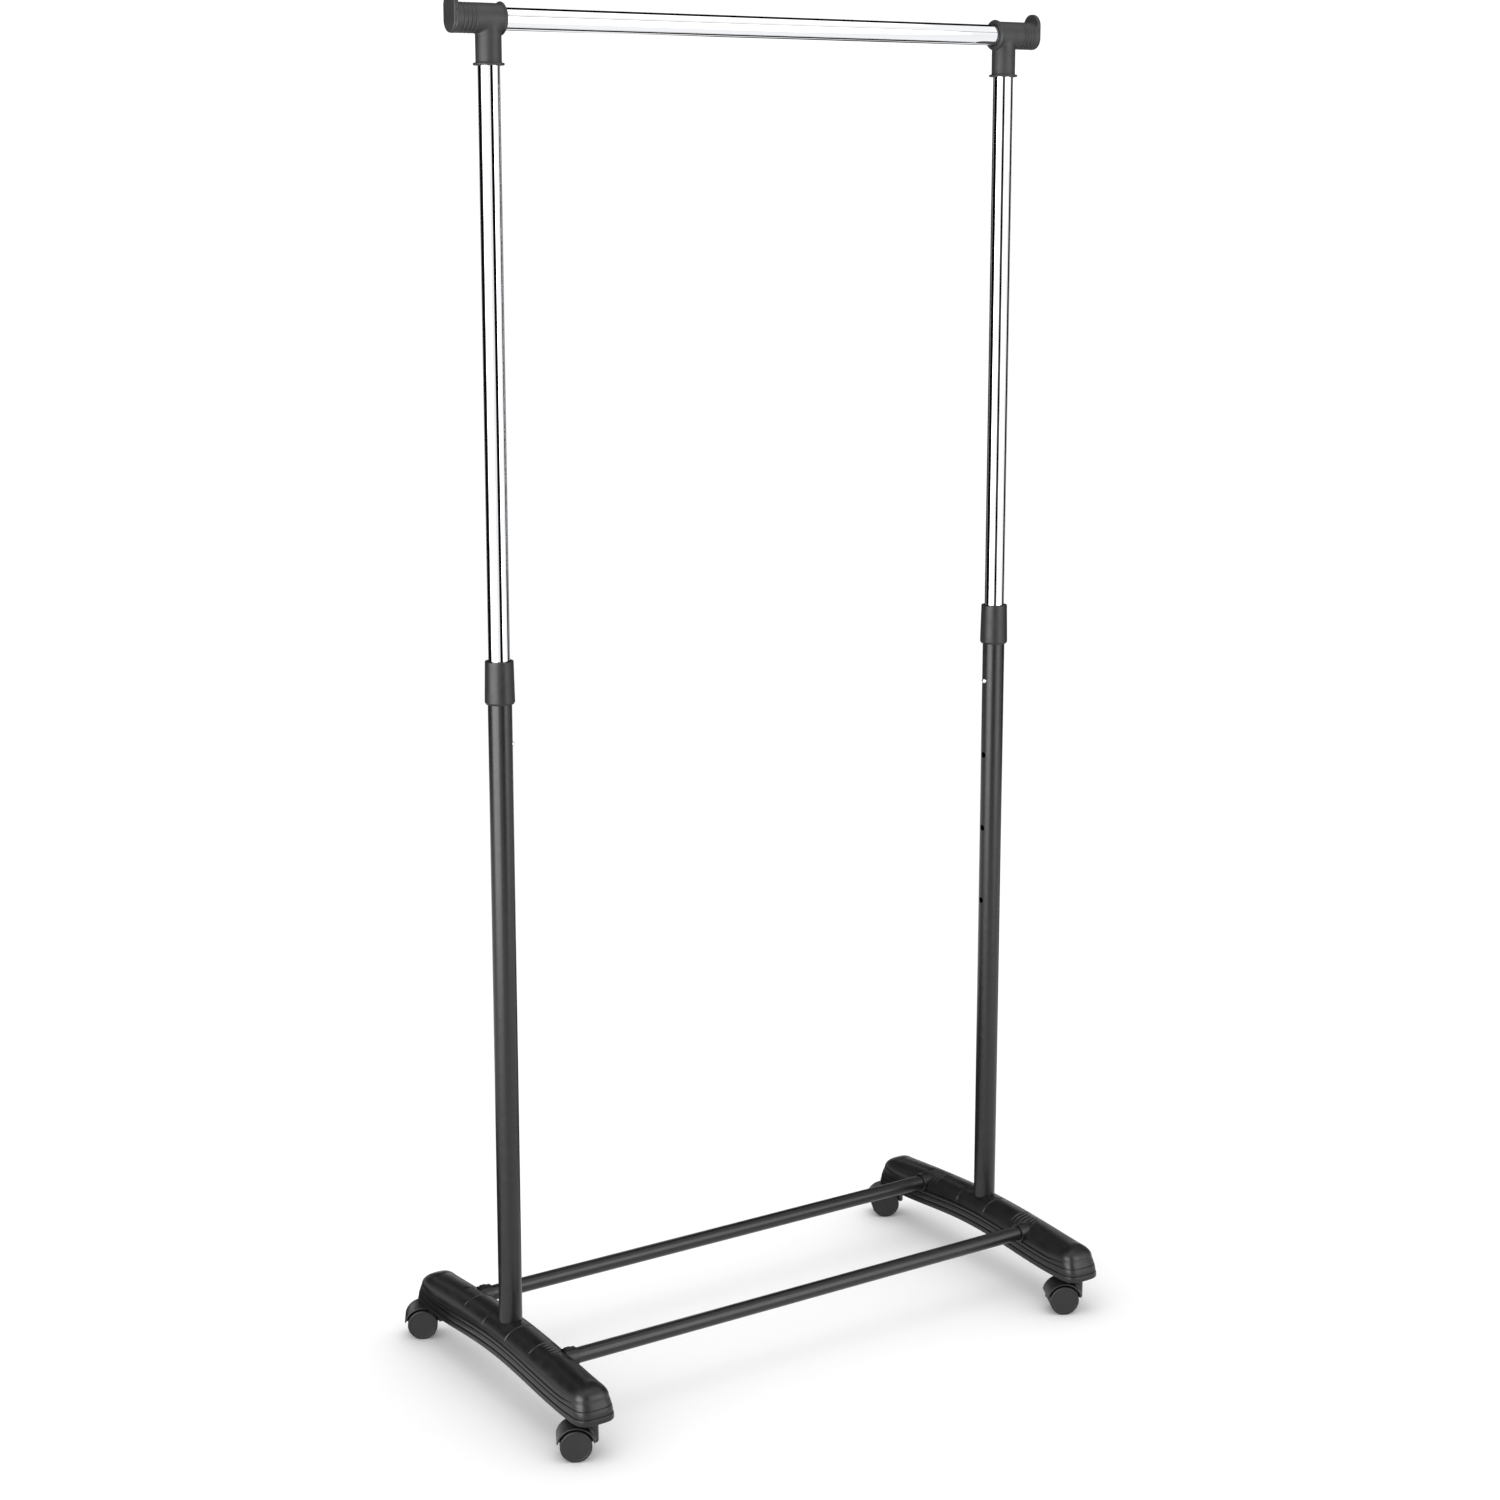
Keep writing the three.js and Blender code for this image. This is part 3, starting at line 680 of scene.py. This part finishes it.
def bar_disc(name, radius, start, end, y, z, rim=0.0):
    profile = disc_profile(radius, start, end)
    if rim:
        profile = rounded(profile, rim, closed=False)
    return at(move(lathe(name, profile, 64), TO_X), 0, y, z)


def foot_model():
    """A foot with the rack's inside at positive x, and its middle at x = 0."""
    tube_low, tube_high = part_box("lower_tube_right")
    tube_radius = (tube_high.y - tube_low.y) / 2
    sleeve_low, sleeve_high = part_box("caster_sleeve_right_front")
    sleeve_y = (sleeve_low.y + sleeve_high.y) / 2
    stem_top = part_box("caster_stem_right_front")[1].z
    bar_low, bar_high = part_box("lower_bar_front")
    bar_radius = (bar_high.z - bar_low.z) / 2
    bar_y = (bar_low.y + bar_high.y) / 2
    bar_z = (bar_low.z + bar_high.z) / 2

    foot = foot_body("foot_outside", 0, 0, True)
    outside = foot_body("foot_trim", 0, 0, False)
    inside = foot_body("foot_hollow", FOOT_WALL, HOLLOW_DROP, False)
    boss_radius = tube_radius + FIT_GAP + SOCKET_WALL
    floor_z = tube_low.z - FIT_GAP
    sleeve_radius = SLEEVE_RADIUS + FIT_GAP
    ring_radius = bar_radius + FIT_GAP + BAR_SOCKET_WALL
    boss_top = 0.1
    bosses = [disc_at("boss", boss_radius, floor_z - SOCKET_FLOOR, foot_ridge_middle)]
    for sign in (-1, 1):
        boss_bottom = sleeve_low.z + SLEEVE_BOSS_LIFT
        boss = disc_at("boss", sleeve_radius + SLEEVE_BOSS_WALL, boss_bottom, boss_top, y=sign * sleeve_y)
        bosses.append(boss)
        start = FOOT_HALF_WIDTH - BAR_SOCKET_DEPTH - BAR_SOCKET_BOTTOM
        bosses.append(bar_disc("boss", ring_radius, start, FOOT_HALF_WIDTH, sign * bar_y, bar_z))
    inner = boolean(joined("bosses", bosses), "INTERSECT", [outside])
    boolean(foot, "DIFFERENCE", [inside])
    boolean(foot, "UNION", [inner])
    rings = []
    for sign in (-1, 1):
        face = FOOT_HALF_WIDTH + BAR_SOCKET_PROUD
        start = FOOT_HALF_WIDTH - BAR_SOCKET_COVER
        rings.append(bar_disc("ring", ring_radius, start, face, sign * bar_y, bar_z, BAR_SOCKET_RIM))
    boolean(foot, "UNION", rings)
    tabs = []
    for sign in (-1, 1):
        top = bar_z + ring_radius + TAB_RISE
        low = (FOOT_HALF_WIDTH - TAB_START, sign * bar_y - TAB_HALF_WIDTH, top - TAB_HEIGHT)
        high = (FOOT_HALF_WIDTH - TAB_END, sign * bar_y + TAB_HALF_WIDTH, top)
        tabs.append(block("tab", low, high))
    boolean(foot, "UNION", tabs)
    above = 0.2
    holes = [disc_at("hole", tube_radius + FIT_GAP, floor_z, above, sides=96)]
    for sign in (-1, 1):
        holes.append(disc_at("hole", sleeve_radius, 0, stem_top + STEM_ROOM, y=sign * sleeve_y))
        start = FOOT_HALF_WIDTH - BAR_SOCKET_DEPTH - FIT_GAP
        past = FOOT_HALF_WIDTH + BAR_SOCKET_DEPTH
        holes.append(bar_disc("hole", bar_radius + FIT_GAP, start, past, sign * bar_y, bar_z))
    boolean(foot, "DIFFERENCE", holes)
    boolean(foot, "DIFFERENCE", [disc_at("hole", BOLT_HOLE_RADIUS, 0, floor_z + STEM_ROOM)])
    return foot


def build_feet():
    model = foot_model()
    left = copy_of(model, "foot_left_shell", Matrix.Translation((-upright_x, 0, 0)))
    flip = Matrix.Translation((upright_x, 0, 0)) @ Matrix.Scale(-1, 4, (1, 0, 0))
    right = copy_of(model, "foot_right_shell", flip)
    remove(model)
    finish_piece(left, foot_plastic, "base", ["foot_left"], FOOT_SMOOTH_ANGLE)
    finish_piece(right, foot_plastic, "base", ["foot_right"], FOOT_SMOOTH_ANGLE)


# ---------------------------------------------------------------- tubes


def build_bars():
    for place in ("front", "back"):
        node = f"lower_bar_{place}"
        low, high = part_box(node)
        radius = (high.z - low.z) / 2
        middle = (low + high) / 2
        half = (high.x - low.x) / 2
        bar = move(upright(f"{node}_tube", radius - TUBE_WALL, radius, -half, half), TO_X)
        at(bar, middle.x, middle.y, middle.z)
        finish_piece(bar, black_tube, "base", [node])


def hole_rows(heights, reach):
    """Rings of points just above and below each hole."""
    return sorted(z + side * reach for z in heights for side in (-1, 1))


def cut_holes(tube, heights, radius, outward, reach):
    """Round holes through the wall that faces the middle of the rack."""
    holes = []
    for z in heights:
        hole = move(lathe("hole", disc_profile(radius, 0, reach), 48), TO_X)
        holes.append(at(move(hole, Matrix.Scale(-outward, 4, (1, 0, 0))), 0, 0, z))
    return boolean(tube, "DIFFERENCE", holes)


def build_uprights():
    for side in SIDES:
        outward = OUTWARD[side]
        button = centre(f"snap_button_{side}")
        place = Matrix.Translation((outward * upright_x, 0, 0))

        node = f"lower_tube_{side}"
        low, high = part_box(node)
        radius = (high.y - low.y) / 2
        heights = [button.z - i * HOLE_PITCH for i in range(HOLE_COUNT)]
        rows = hole_rows(heights, HOLE_ROW_REACH)
        tube = upright(f"{node}_tube", radius - LOWER_TUBE_WALL, radius, low.z, high.z, rows, 128)
        cut_holes(tube, heights, LOWER_HOLE_RADIUS, outward, 2 * radius)
        finish_piece(move(tube, place), black_tube, "base", [node])

        node = f"upper_tube_{side}"
        low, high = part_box(node)
        radius = (high.y - low.y) / 2
        rows = hole_rows([button.z], HOLE_ROW_REACH)
        tube = upright(f"{node}_tube", radius - TUBE_WALL, radius, low.z, high.z, rows, 128)
        cut_holes(tube, [button.z], UPPER_HOLE_RADIUS, outward, 2 * radius)
        finish_piece(move(tube, place), chrome_upright, "upper_frame", [node])


def build_rail():
    low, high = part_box("hanging_rail")
    radius = (high.z - low.z) / 2
    rail = move(upright("hanging_rail_tube", radius - TUBE_WALL, radius, low.x, high.x, sides=128), TO_X)
    at(rail, 0, 0, rail_z)
    finish_piece(rail, chrome_rail, "upper_frame", ["hanging_rail"])


BUTTON_RADIUS = 3.5 * MM
BUTTON_FLANGE = 1 * MM
BUTTON_DOME = 2.6 * MM
BUTTON_DOME_STEPS = 12


def build_buttons():
    for side in SIDES:
        node = f"snap_button_{side}"
        low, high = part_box(node)
        middle = (low + high) / 2
        length = high.x - low.x
        flange = (high.z - low.z) / 2
        profile = [(0, 0), (flange, 0), (flange, BUTTON_FLANGE), (BUTTON_RADIUS, BUTTON_FLANGE)]
        for i in range(BUTTON_DOME_STEPS):
            turn = (i / BUTTON_DOME_STEPS) * (math.pi / 2)
            rise = BUTTON_DOME * math.sin(turn)
            profile.append((BUTTON_RADIUS * math.cos(turn), length - BUTTON_DOME + rise))
        profile.append((0, length))
        button = move(lathe(f"{node}_dome", profile, 48), TO_X)
        outward = OUTWARD[side]
        if outward > 0:
            move(button, Matrix.Scale(-1, 4, (1, 0, 0)))
        start = high.x if outward > 0 else low.x
        at(button, start, 0, middle.z)
        finish_piece(button, button_chrome, f"button_{side}", [node])


SPRING_THICKNESS = 0.8 * MM
SPRING_EDGE = 0.15 * MM


def spring_path(half, bottom, top):
    """The spring's middle line, down the leg at +X and up the leg at -X: (place, outward normal)."""
    radius = half - SPRING_THICKNESS / 2
    bend_z = bottom + half
    rows = 24
    legs = [(bend_z + (top - bend_z) * i / rows) for i in range(rows + 1)]
    path = [((radius, z), (1, 0)) for z in legs[:0:-1]]
    turns = 32
    for i in range(turns + 1):
        turn = -math.pi * i / turns
        normal = (math.cos(turn), math.sin(turn))
        path.append(((radius * normal[0], bend_z + radius * normal[1]), normal))
    return path + [((-radius, z), (-1, 0)) for z in legs[1:]]


def build_springs():
    """Leaf springs bent to a U, each left without a body of its own."""
    for side in SIDES:
        node = f"snap_spring_{side}"
        low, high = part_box(node)
        half = (high.x - low.x) / 2
        width = high.y - low.y
        thick = SPRING_THICKNESS
        section = [(-thick / 2, -width / 2), (thick / 2, -width / 2), (thick / 2, width / 2)]
        section = rounded(section + [(-thick / 2, width / 2)], SPRING_EDGE, 2)
        points, faces = [], []
        path = spring_path(half, low.z, high.z)
        for (x, z), normal in path:
            points += [(x + out * normal[0], y, z + out * normal[1]) for out, y in section]
        count = len(section)
        for row in range(len(path) - 1):
            for i in range(count):
                j = (i + 1) % count
                start, end = row * count, (row + 1) * count
                faces.append((start + i, end + i, end + j, start + j))
        faces.append(range(count))
        faces.append(range(len(points) - 1, len(points) - 1 - count, -1))
        spring = mesh_object(f"{node}_leaf", points, faces)
        weld(spring)
        at(spring, (low.x + high.x) / 2, 0, 0)
        finish_piece(spring, spring_steel, None, [node])
        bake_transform(spring)


# ---------------------------------------------------------------- collars


COLLAR_TOP_WALL = 2.3 * MM
COLLAR_BEVEL = 2.5 * MM
COLLAR_EDGE = 0.5 * MM


def build_collars():
    for side in SIDES:
        node = f"collar_{side}"
        low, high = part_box(node)
        tube_low, tube_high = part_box(f"lower_tube_{side}")
        bore = (tube_high.y - tube_low.y) / 2 + FIT_GAP
        upper_low, upper_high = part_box(f"upper_tube_{side}")
        lip_bore = (upper_high.y - upper_low.y) / 2 + FIT_GAP
        lip_bottom = tube_high.z + FIT_GAP
        wide = (high.y - low.y) / 2
        narrow = bore + COLLAR_TOP_WALL
        profile = [
            (bore, low.z),
            (wide - 1.2 * MM, low.z),
            (wide, low.z + COLLAR_BEVEL),
            (narrow + 0.1 * MM, high.z - 6 * MM),
            (narrow, high.z),
            (narrow - 1.3 * MM, high.z),
            (narrow - 1.9 * MM, high.z - 1.1 * MM),
            (lip_bore + 0.5 * MM, high.z - 2.4 * MM),
            (lip_bore, high.z - 4 * MM),
            (lip_bore, lip_bottom),
            (bore, lip_bottom),
        ]
        collar = lathe(f"{node}_sleeve", rounded(profile, COLLAR_EDGE), closed=True)
        at(collar, OUTWARD[side] * upright_x, 0, 0)
        finish_piece(collar, collar_plastic, "base", [node])


# ---------------------------------------------------------------- tees

TEE_PITCH = 0.65 * MM
TEE_SOFT = 0.5 * MM
TEE_GROOVES = (22 * MM, 27 * MM, 32 * MM, 37 * MM)
TEE_GROOVE_WIDTH = 1.7 * MM
TEE_GROOVE_DEPTH = 1.0 * MM
TEE_SLEEVE_WALL = 4 * MM
TEE_SOCKET_WALL = 1.9 * MM
TEE_PLATE = 5.5 * MM
TEE_PLATE_HALF_WIDTH = 14.5 * MM
TEE_PLATE_RISE = 27 * MM
TEE_INNER_REACH = 17 * MM
TEE_OUTER_REACH = 49 * MM
TEE_FLANGE_RIM = 3 * MM
TEE_FLANGE = 2.8 * MM
TEE_INNER_RIM = 2 * MM
TEE_INNER_FLANGE = 3 * MM
TEE_FLANGE_SLOPE = 1.2
TEE_BEVEL = 1.1 * MM
BORE_FILLET = 0.4 * MM


def tee_distance(x, y, z):
    """The right tee, from the point where the axes of its upright and of the rail cross."""
    soft = TEE_SOFT
    rail_low, rail_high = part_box("hanging_rail")
    rail_bore = (rail_high.z - rail_low.z) / 2 + FIT_GAP
    upper_low, upper_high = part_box("upper_tube_right")
    socket_bore = (upper_high.y - upper_low.y) / 2 + FIT_GAP
    sleeve = rail_bore + TEE_SLEEVE_WALL
    socket = socket_bore + TEE_SOCKET_WALL
    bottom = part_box("tee_right")[0].z - rail_z
    around_x = np.hypot(y, z)
    around_z = np.hypot(x, y)

    groove = np.zeros_like(x)
    for middle in TEE_GROOVES:
        inside = np.clip(1 - (2 * (x - middle) / TEE_GROOVE_WIDTH) ** 2, 0, 1)
        groove = np.maximum(groove, TEE_GROOVE_DEPTH * np.sqrt(inside))
    body = capped(
        around_x - sleeve + groove + soft,
        -TEE_INNER_REACH + soft - x,
        x - (TEE_OUTER_REACH - TEE_PLATE / 2) + soft,
    )
    # the inner flange, with its face sloped towards the rail
    slope = around_x - sleeve - TEE_FLANGE_SLOPE * (x + TEE_INNER_REACH)
    flange = capped(
        np.maximum(around_x - sleeve - TEE_INNER_RIM, slope) + soft,
        -TEE_INNER_REACH + soft - x,
        x + TEE_INNER_REACH - TEE_INNER_FLANGE + soft,
    )
    column = capped(around_z - socket + soft, bottom + soft - z, z + soft)
    rim = around_z - socket - TEE_FLANGE_RIM + soft
    foot = capped(rim, bottom + soft - z, z - bottom - TEE_FLANGE + soft)
    high = TEE_PLATE_RISE - TEE_PLATE_HALF_WIDTH
    low = -sleeve + TEE_PLATE_HALF_WIDTH
    past = z - np.clip(z, low, high)
    stadium = np.hypot(y, past) - TEE_PLATE_HALF_WIDTH
    outer = x - TEE_OUTER_REACH
    plate = capped(
        np.maximum(stadium, stadium + outer + TEE_BEVEL) + soft,
        TEE_OUTER_REACH - TEE_PLATE + soft - x,
        outer + soft,
    )
    whole = merge(body, column, 2.5 * MM)
    whole = merge(whole, flange, 0.6 * MM)
    whole = merge(whole, foot, 1.0 * MM)
    whole = merge(whole, plate, 0.8 * MM) - soft
    rail_end = rail_high.x - upright_x + FIT_GAP
    bore = np.maximum(around_x - rail_bore, x - rail_end)
    whole = cut(whole, bore, BORE_FILLET)
    return cut(whole, np.maximum(around_z - socket_bore, z), BORE_FILLET)


def build_tees():
    low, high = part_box("tee_right")
    margin = FIELD_MARGIN
    start = (low.x - upright_x - margin, low.y - margin, low.z - rail_z - margin)
    end = (high.x - upright_x + margin, high.y + margin, high.z - rail_z + margin)
    model = field_object("tee", tee_distance, start, end, TEE_PITCH)
    place = Matrix.Translation((upright_x, 0, rail_z))
    right = copy_of(model, "tee_right_fitting", place)
    flip = Matrix.Translation((-upright_x, 0, rail_z)) @ Matrix.Scale(-1, 4, (1, 0, 0))
    left = copy_of(model, "tee_left_fitting", flip)
    remove(model)
    finish_piece(right, tee_plastic, "upper_frame", ["tee_right"], SMOOTH_ALL)
    finish_piece(left, tee_plastic, "upper_frame", ["tee_left"], SMOOTH_ALL)


# ---------------------------------------------------------------- casters

HOOD_PITCH = 0.6 * MM
HOOD_SOFT = 0.45 * MM
HOOD_BAND = 1.85 * MM
HOOD_GAP = 2.4 * MM
HOOD_TIP_DROP = 10
HOOD_HALF_WIDTH = 16.5 * MM
HOOD_WEB = 6 * MM
HOOD_HUB = 6.5 * MM
STEM_RADIUS = 4 * MM
STEM_BOSS = 7.3 * MM
AXLE_RADIUS = 2.5 * MM
AXLE_HOLE_DEPTH = 10.8 * MM
WHEEL_INNER_FACE = 3.5 * MM
WHEEL_OUTER_FACE = 17.5 * MM
WHEEL_FACE_THICKNESS = 3 * MM
WHEEL_TREAD_THICKNESS = 5 * MM
WHEEL_HUB_RADIUS = 6 * MM
WHEEL_BEVEL = 1.1 * MM
WHEEL_EDGE = 0.45 * MM
STEM_COLLAR_RADIUS = 6.5 * MM
STEM_COLLAR_HEIGHT = 1.5 * MM
STEM_TIP = 1.2 * MM
STEM_EDGE = 0.2 * MM

caster_swivel = joint("caster_right_front_swivel")
caster_spin = joint("wheel_right_front_front_spin")
wheel_radius = caster_spin["pos_m"][2]
caster_trail = math.hypot(
    caster_spin["pos_m"][0] - caster_swivel["pos_m"][0],
    caster_spin["pos_m"][1] - caster_swivel["pos_m"][1],
)


def caster_place(corner):
    """Where a caster stands: its stem on local Z, its wheels trailing towards local -X."""
    stem = joint(f"caster_{corner}_swivel")["pos_m"]
    axle = joint(f"wheel_{corner}_front_spin")["axis"]
    turn = math.atan2(-axle[0], axle[1])
    return Matrix.Translation((stem[0], stem[1], 0)) @ Matrix.Rotation(turn, 4, "Z")


def hood_distance(x, y, z):
    """One caster's hood: a band over both wheels, a web between them and a boss for the stem."""
    soft = HOOD_SOFT
    wheel_x = x + caster_trail
    wheel_z = z - wheel_radius
    around = np.hypot(wheel_x, wheel_z)
    inner = wheel_radius + HOOD_GAP
    outer = inner + HOOD_BAND
    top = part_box("caster_hood_right_front")[1].z
    drop = math.radians(HOOD_TIP_DROP)
    # distances past each end of the band, measured square to the end
    ends = np.maximum(
        -(wheel_z * math.cos(drop) + wheel_x * math.sin(drop)),
        -(wheel_z * math.cos(drop) - wheel_x * math.sin(drop)),
    )
    band = capped(
        np.maximum(around - outer, inner - around) + soft,
        np.abs(y) - HOOD_HALF_WIDTH + soft,
        ends + soft,
    )
    web = np.maximum(around - inner - HOOD_BAND / 2, -wheel_z)
    web = np.minimum(web, around - HOOD_HUB)
    web = capped(web + soft, np.abs(y) - HOOD_WEB / 2 + soft, -1.0)
    boss = capped(np.hypot(x, y) - STEM_BOSS + soft, wheel_radius - z, z - top + soft)
    boss = np.maximum(boss, inner - around)
    whole = merge(band, web, 0.8 * MM)
    whole = merge(whole, boss, 3.0 * MM) - soft
    open_side = np.maximum(around - inner, HOOD_WEB / 2 + 0.1 * MM - np.abs(y))
    whole = cut(whole, open_side)
    stem_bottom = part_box("caster_stem_right_front")[0].z - FIT_GAP
    whole = cut(whole, np.maximum(np.hypot(x, y) - STEM_RADIUS - FIT_GAP, stem_bottom - z))
    return cut(whole, around - AXLE_RADIUS - FIT_GAP)


def wheel_profile(inside, outside):
    """A wheel about Z, from the side that faces the hood's web to its face."""
    tread = wheel_radius
    bore = AXLE_RADIUS + FIT_GAP
    blind_end = inside + AXLE_HOLE_DEPTH
    hollow = tread - WHEEL_TREAD_THICKNESS
    back = outside - WHEEL_FACE_THICKNESS
    profile = [
        (0, blind_end),
        (bore, blind_end),
        (bore, inside),
        (WHEEL_HUB_RADIUS, inside),
        (WHEEL_HUB_RADIUS, back),
        (hollow, back),
        (hollow, inside),
        (tread, inside),
        (tread, outside - WHEEL_BEVEL),
        (tread - WHEEL_BEVEL, outside),
        (tread - 2.6 * MM, outside),
        (tread - 3.0 * MM, outside - 0.45 * MM),
        (0, outside - 0.25 * MM),
    ]
    return rounded(profile, WHEEL_EDGE, closed=False)


def stem_profile(low, high):
    collar_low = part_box("caster_hood_right_front")[1].z + FIT_GAP
    collar_high = collar_low + STEM_COLLAR_HEIGHT
    profile = [
        (0, low),
        (STEM_RADIUS, low),
        (STEM_RADIUS, collar_low),
        (STEM_COLLAR_RADIUS, collar_low),
        (STEM_COLLAR_RADIUS, collar_high),
        (STEM_RADIUS, collar_high),
        (STEM_RADIUS, high - STEM_TIP),
        (STEM_RADIUS - STEM_TIP, high),
        (0, high),
    ]
    return rounded(profile, STEM_EDGE, closed=False)


def build_casters():
    outer = wheel_radius + HOOD_GAP + HOOD_BAND
    margin = FIELD_MARGIN
    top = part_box("caster_hood_right_front")[1].z
    start = (-caster_trail - outer - margin, -HOOD_HALF_WIDTH - margin, 0.008)
    end = (max(STEM_BOSS, outer - caster_trail) + margin, HOOD_HALF_WIDTH + margin, top + margin)
    hood_model = field_object("hood", hood_distance, start, end, HOOD_PITCH)
    wheel_model = move(lathe("wheel", wheel_profile(WHEEL_INNER_FACE, WHEEL_OUTER_FACE), 96), TO_Y)
    stem_low, stem_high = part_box("caster_stem_right_front")
    stem_model = lathe("stem", stem_profile(stem_low.z, stem_high.z), 48)
    to_axle = Matrix.Translation((-caster_trail, 0, wheel_radius))
    half_turn = Matrix.Rotation(math.pi, 4, "Z")
    for corner in CORNERS:
        place = caster_place(corner)
        hood = copy_of(hood_model, f"caster_hood_{corner}_shell", place)
        body = f"caster_{corner}"
        finish_piece(hood, caster_plastic, body, [f"caster_hood_{corner}"], SMOOTH_ALL)
        stem = copy_of(stem_model, f"caster_stem_{corner}_pin", place)
        finish_piece(stem, zinc_steel, "base", [f"caster_stem_{corner}"])
        for face, turn in (("back", Matrix.Identity(4)), ("front", half_turn)):
            node = f"wheel_{corner}_{face}"
            wheel = copy_of(wheel_model, f"{node}_disc", place @ to_axle @ turn)
            finish_piece(wheel, wheel_plastic, node, [node])
        repaint(f"caster_axle_{corner}", zinc_steel)
        repaint(f"caster_sleeve_{corner}", zinc_steel)
    for model in (hood_model, wheel_model, stem_model):
        remove(model)


def repaint_fastenings():
    for side in SIDES:
        repaint(f"tube_insert_{side}", nylon)
        repaint(f"foot_washer_{side}", zinc_steel)
        repaint(f"foot_bolt_{side}", zinc_steel)


build_feet()
build_bars()
build_uprights()
build_rail()
build_buttons()
build_springs()
build_collars()
build_tees()
build_casters()
repaint_fastenings()

# ---------------------------------------------------------------- stage and light


def direction(compass):
    """A level direction, in degrees from +Y towards +X."""
    angle = math.radians(compass)
    return Vector((math.sin(angle), math.cos(angle), 0))


def plain(name, colour):
    made = material(name, colour, 0.9, specular=0.0)
    vary_colour(made, noise(made, 3, 2), colour, tuple(min(1.0, c * 1.01) for c in colour))
    return made


def add_floor():
    half = 400
    points = [(-half, -half, 0), (half, -half, 0), (half, half, 0), (-half, half, 0)]
    floor = mesh_object("floor", points, [(0, 1, 2, 3)])
    floor.data.materials.append(plain("pale_floor", (0.93, 0.93, 0.935)))


def add_flag(name, middle, facing, width, height):
    """A black board that only glossy surfaces see, standing for the dark parts of a studio."""
    across = facing.cross(Vector((0, 0, 1))).normalized()
    up = across.cross(facing).normalized()
    corners = []
    for sx, sz in ((-1, -1), (1, -1), (1, 1), (-1, 1)):
        corners.append(middle + across * (sx * width / 2) + up * (sz * height / 2))
    flag = mesh_object(name, corners, [(0, 1, 2, 3)])
    flag.data.materials.append(flag_black)
    flag.visible_camera = False
    flag.visible_diffuse = False
    flag.visible_shadow = False
    flag.visible_transmission = False


def add_softbox(name, middle, target, width, height, radiance, only_gloss):
    """An even area light, of this radiance over its face. It may light only glossy reflections."""
    data = bpy.data.lights.new(name, "AREA")
    data.shape = "RECTANGLE"
    data.size = width
    data.size_y = height
    data.energy = radiance * math.pi * width * height
    light = bpy.data.objects.new(name, data)
    bpy.context.scene.collection.objects.link(light)
    light.location = middle
    light.rotation_mode = "QUATERNION"
    light.rotation_quaternion = (Vector(target) - Vector(middle)).to_track_quat("-Z", "Y")
    light.visible_camera = False
    light.visible_diffuse = not only_gloss


def add_world(radiance):
    world = bpy.data.worlds.new("studio")
    world.use_nodes = True
    background = world.node_tree.nodes["Background"]
    background.inputs["Color"].default_value = (1, 1, 1, 1)
    background.inputs["Strength"].default_value = radiance
    bpy.context.scene.world = world


flag_black = plain("flag_black", (0.004, 0.004, 0.004))
FLAG_BOTTOM = 0.35
FLAG_TOP = 2.3
REAR_FLAG_DISTANCE = 1.75
# the dark boards behind the rack: the compass bearings of their two edges
REAR_FLAGS = ((292, 345), (349, 385), (391, 412), (420, 436), (440, 470))

add_world(1.1)
add_floor()
middle_height = (FLAG_BOTTOM + FLAG_TOP) / 2
tall = FLAG_TOP - FLAG_BOTTOM
add_flag("flag_front", Vector((-0.37, -1.28, middle_height)), Vector((0, 1, 0)), 0.68, tall)
for index, (start, end) in enumerate(REAR_FLAGS):
    outward = direction((start + end) / 2)
    width = 2 * REAR_FLAG_DISTANCE * math.tan(math.radians((end - start) / 2))
    spot = outward * REAR_FLAG_DISTANCE + Vector((0, 0, middle_height))
    add_flag(f"flag_rear_{index}", spot, -outward, width, tall)
add_flag("flag_floor", Vector((1.0, 0.6, 0.004)), Vector((0, 0.001, 1)), 4.0, 0.8)
add_flag("flag_high", Vector((0.5, 0.84, 2.39)), Vector((0, -1.07, -1.02)).normalized(), 2.6, 1.5)
add_flag("flag_bar", Vector((1.1, -1.5, 2.4)), Vector((0, 1, 0)), 2.2, 0.12)

add_softbox("key_left", (-2.1, -0.5, 1.0), (0, 0, 0.8), 2.2, 2.0, 6.0, True)
add_softbox("fill_right", (0.95, -2.2, 1.2), (0.1, 0, 0.8), 1.7, 2.4, 2.6, True)
add_softbox("overhead", (0.0, -0.2, 2.9), (0, 0, 0), 2.4, 1.6, 0.6, False)

# ---------------------------------------------------------------- camera

CAMERA_PLACE = (-1.8073, -2.7182, 1.4868)
CAMERA_COMPASS = 33.3665
CAMERA_DOWN = 10.55
CAMERA_LENS = 63.9
CAMERA_SHIFT = -0.06


def add_camera():
    data = bpy.data.cameras.new("camera")
    data.lens = CAMERA_LENS
    data.sensor_width = 36
    data.shift_y = CAMERA_SHIFT
    data.clip_start = 0.05
    data.clip_end = 200
    camera = bpy.data.objects.new("camera", data)
    bpy.context.scene.collection.objects.link(camera)
    camera.location = CAMERA_PLACE
    look = direction(CAMERA_COMPASS) * math.cos(math.radians(CAMERA_DOWN))
    look.z = -math.sin(math.radians(CAMERA_DOWN))
    camera.rotation_mode = "QUATERNION"
    camera.rotation_quaternion = look.to_track_quat("-Z", "Y")
    bpy.context.scene.camera = camera


add_camera()
bpy.context.scene.view_settings.view_transform = "Standard"
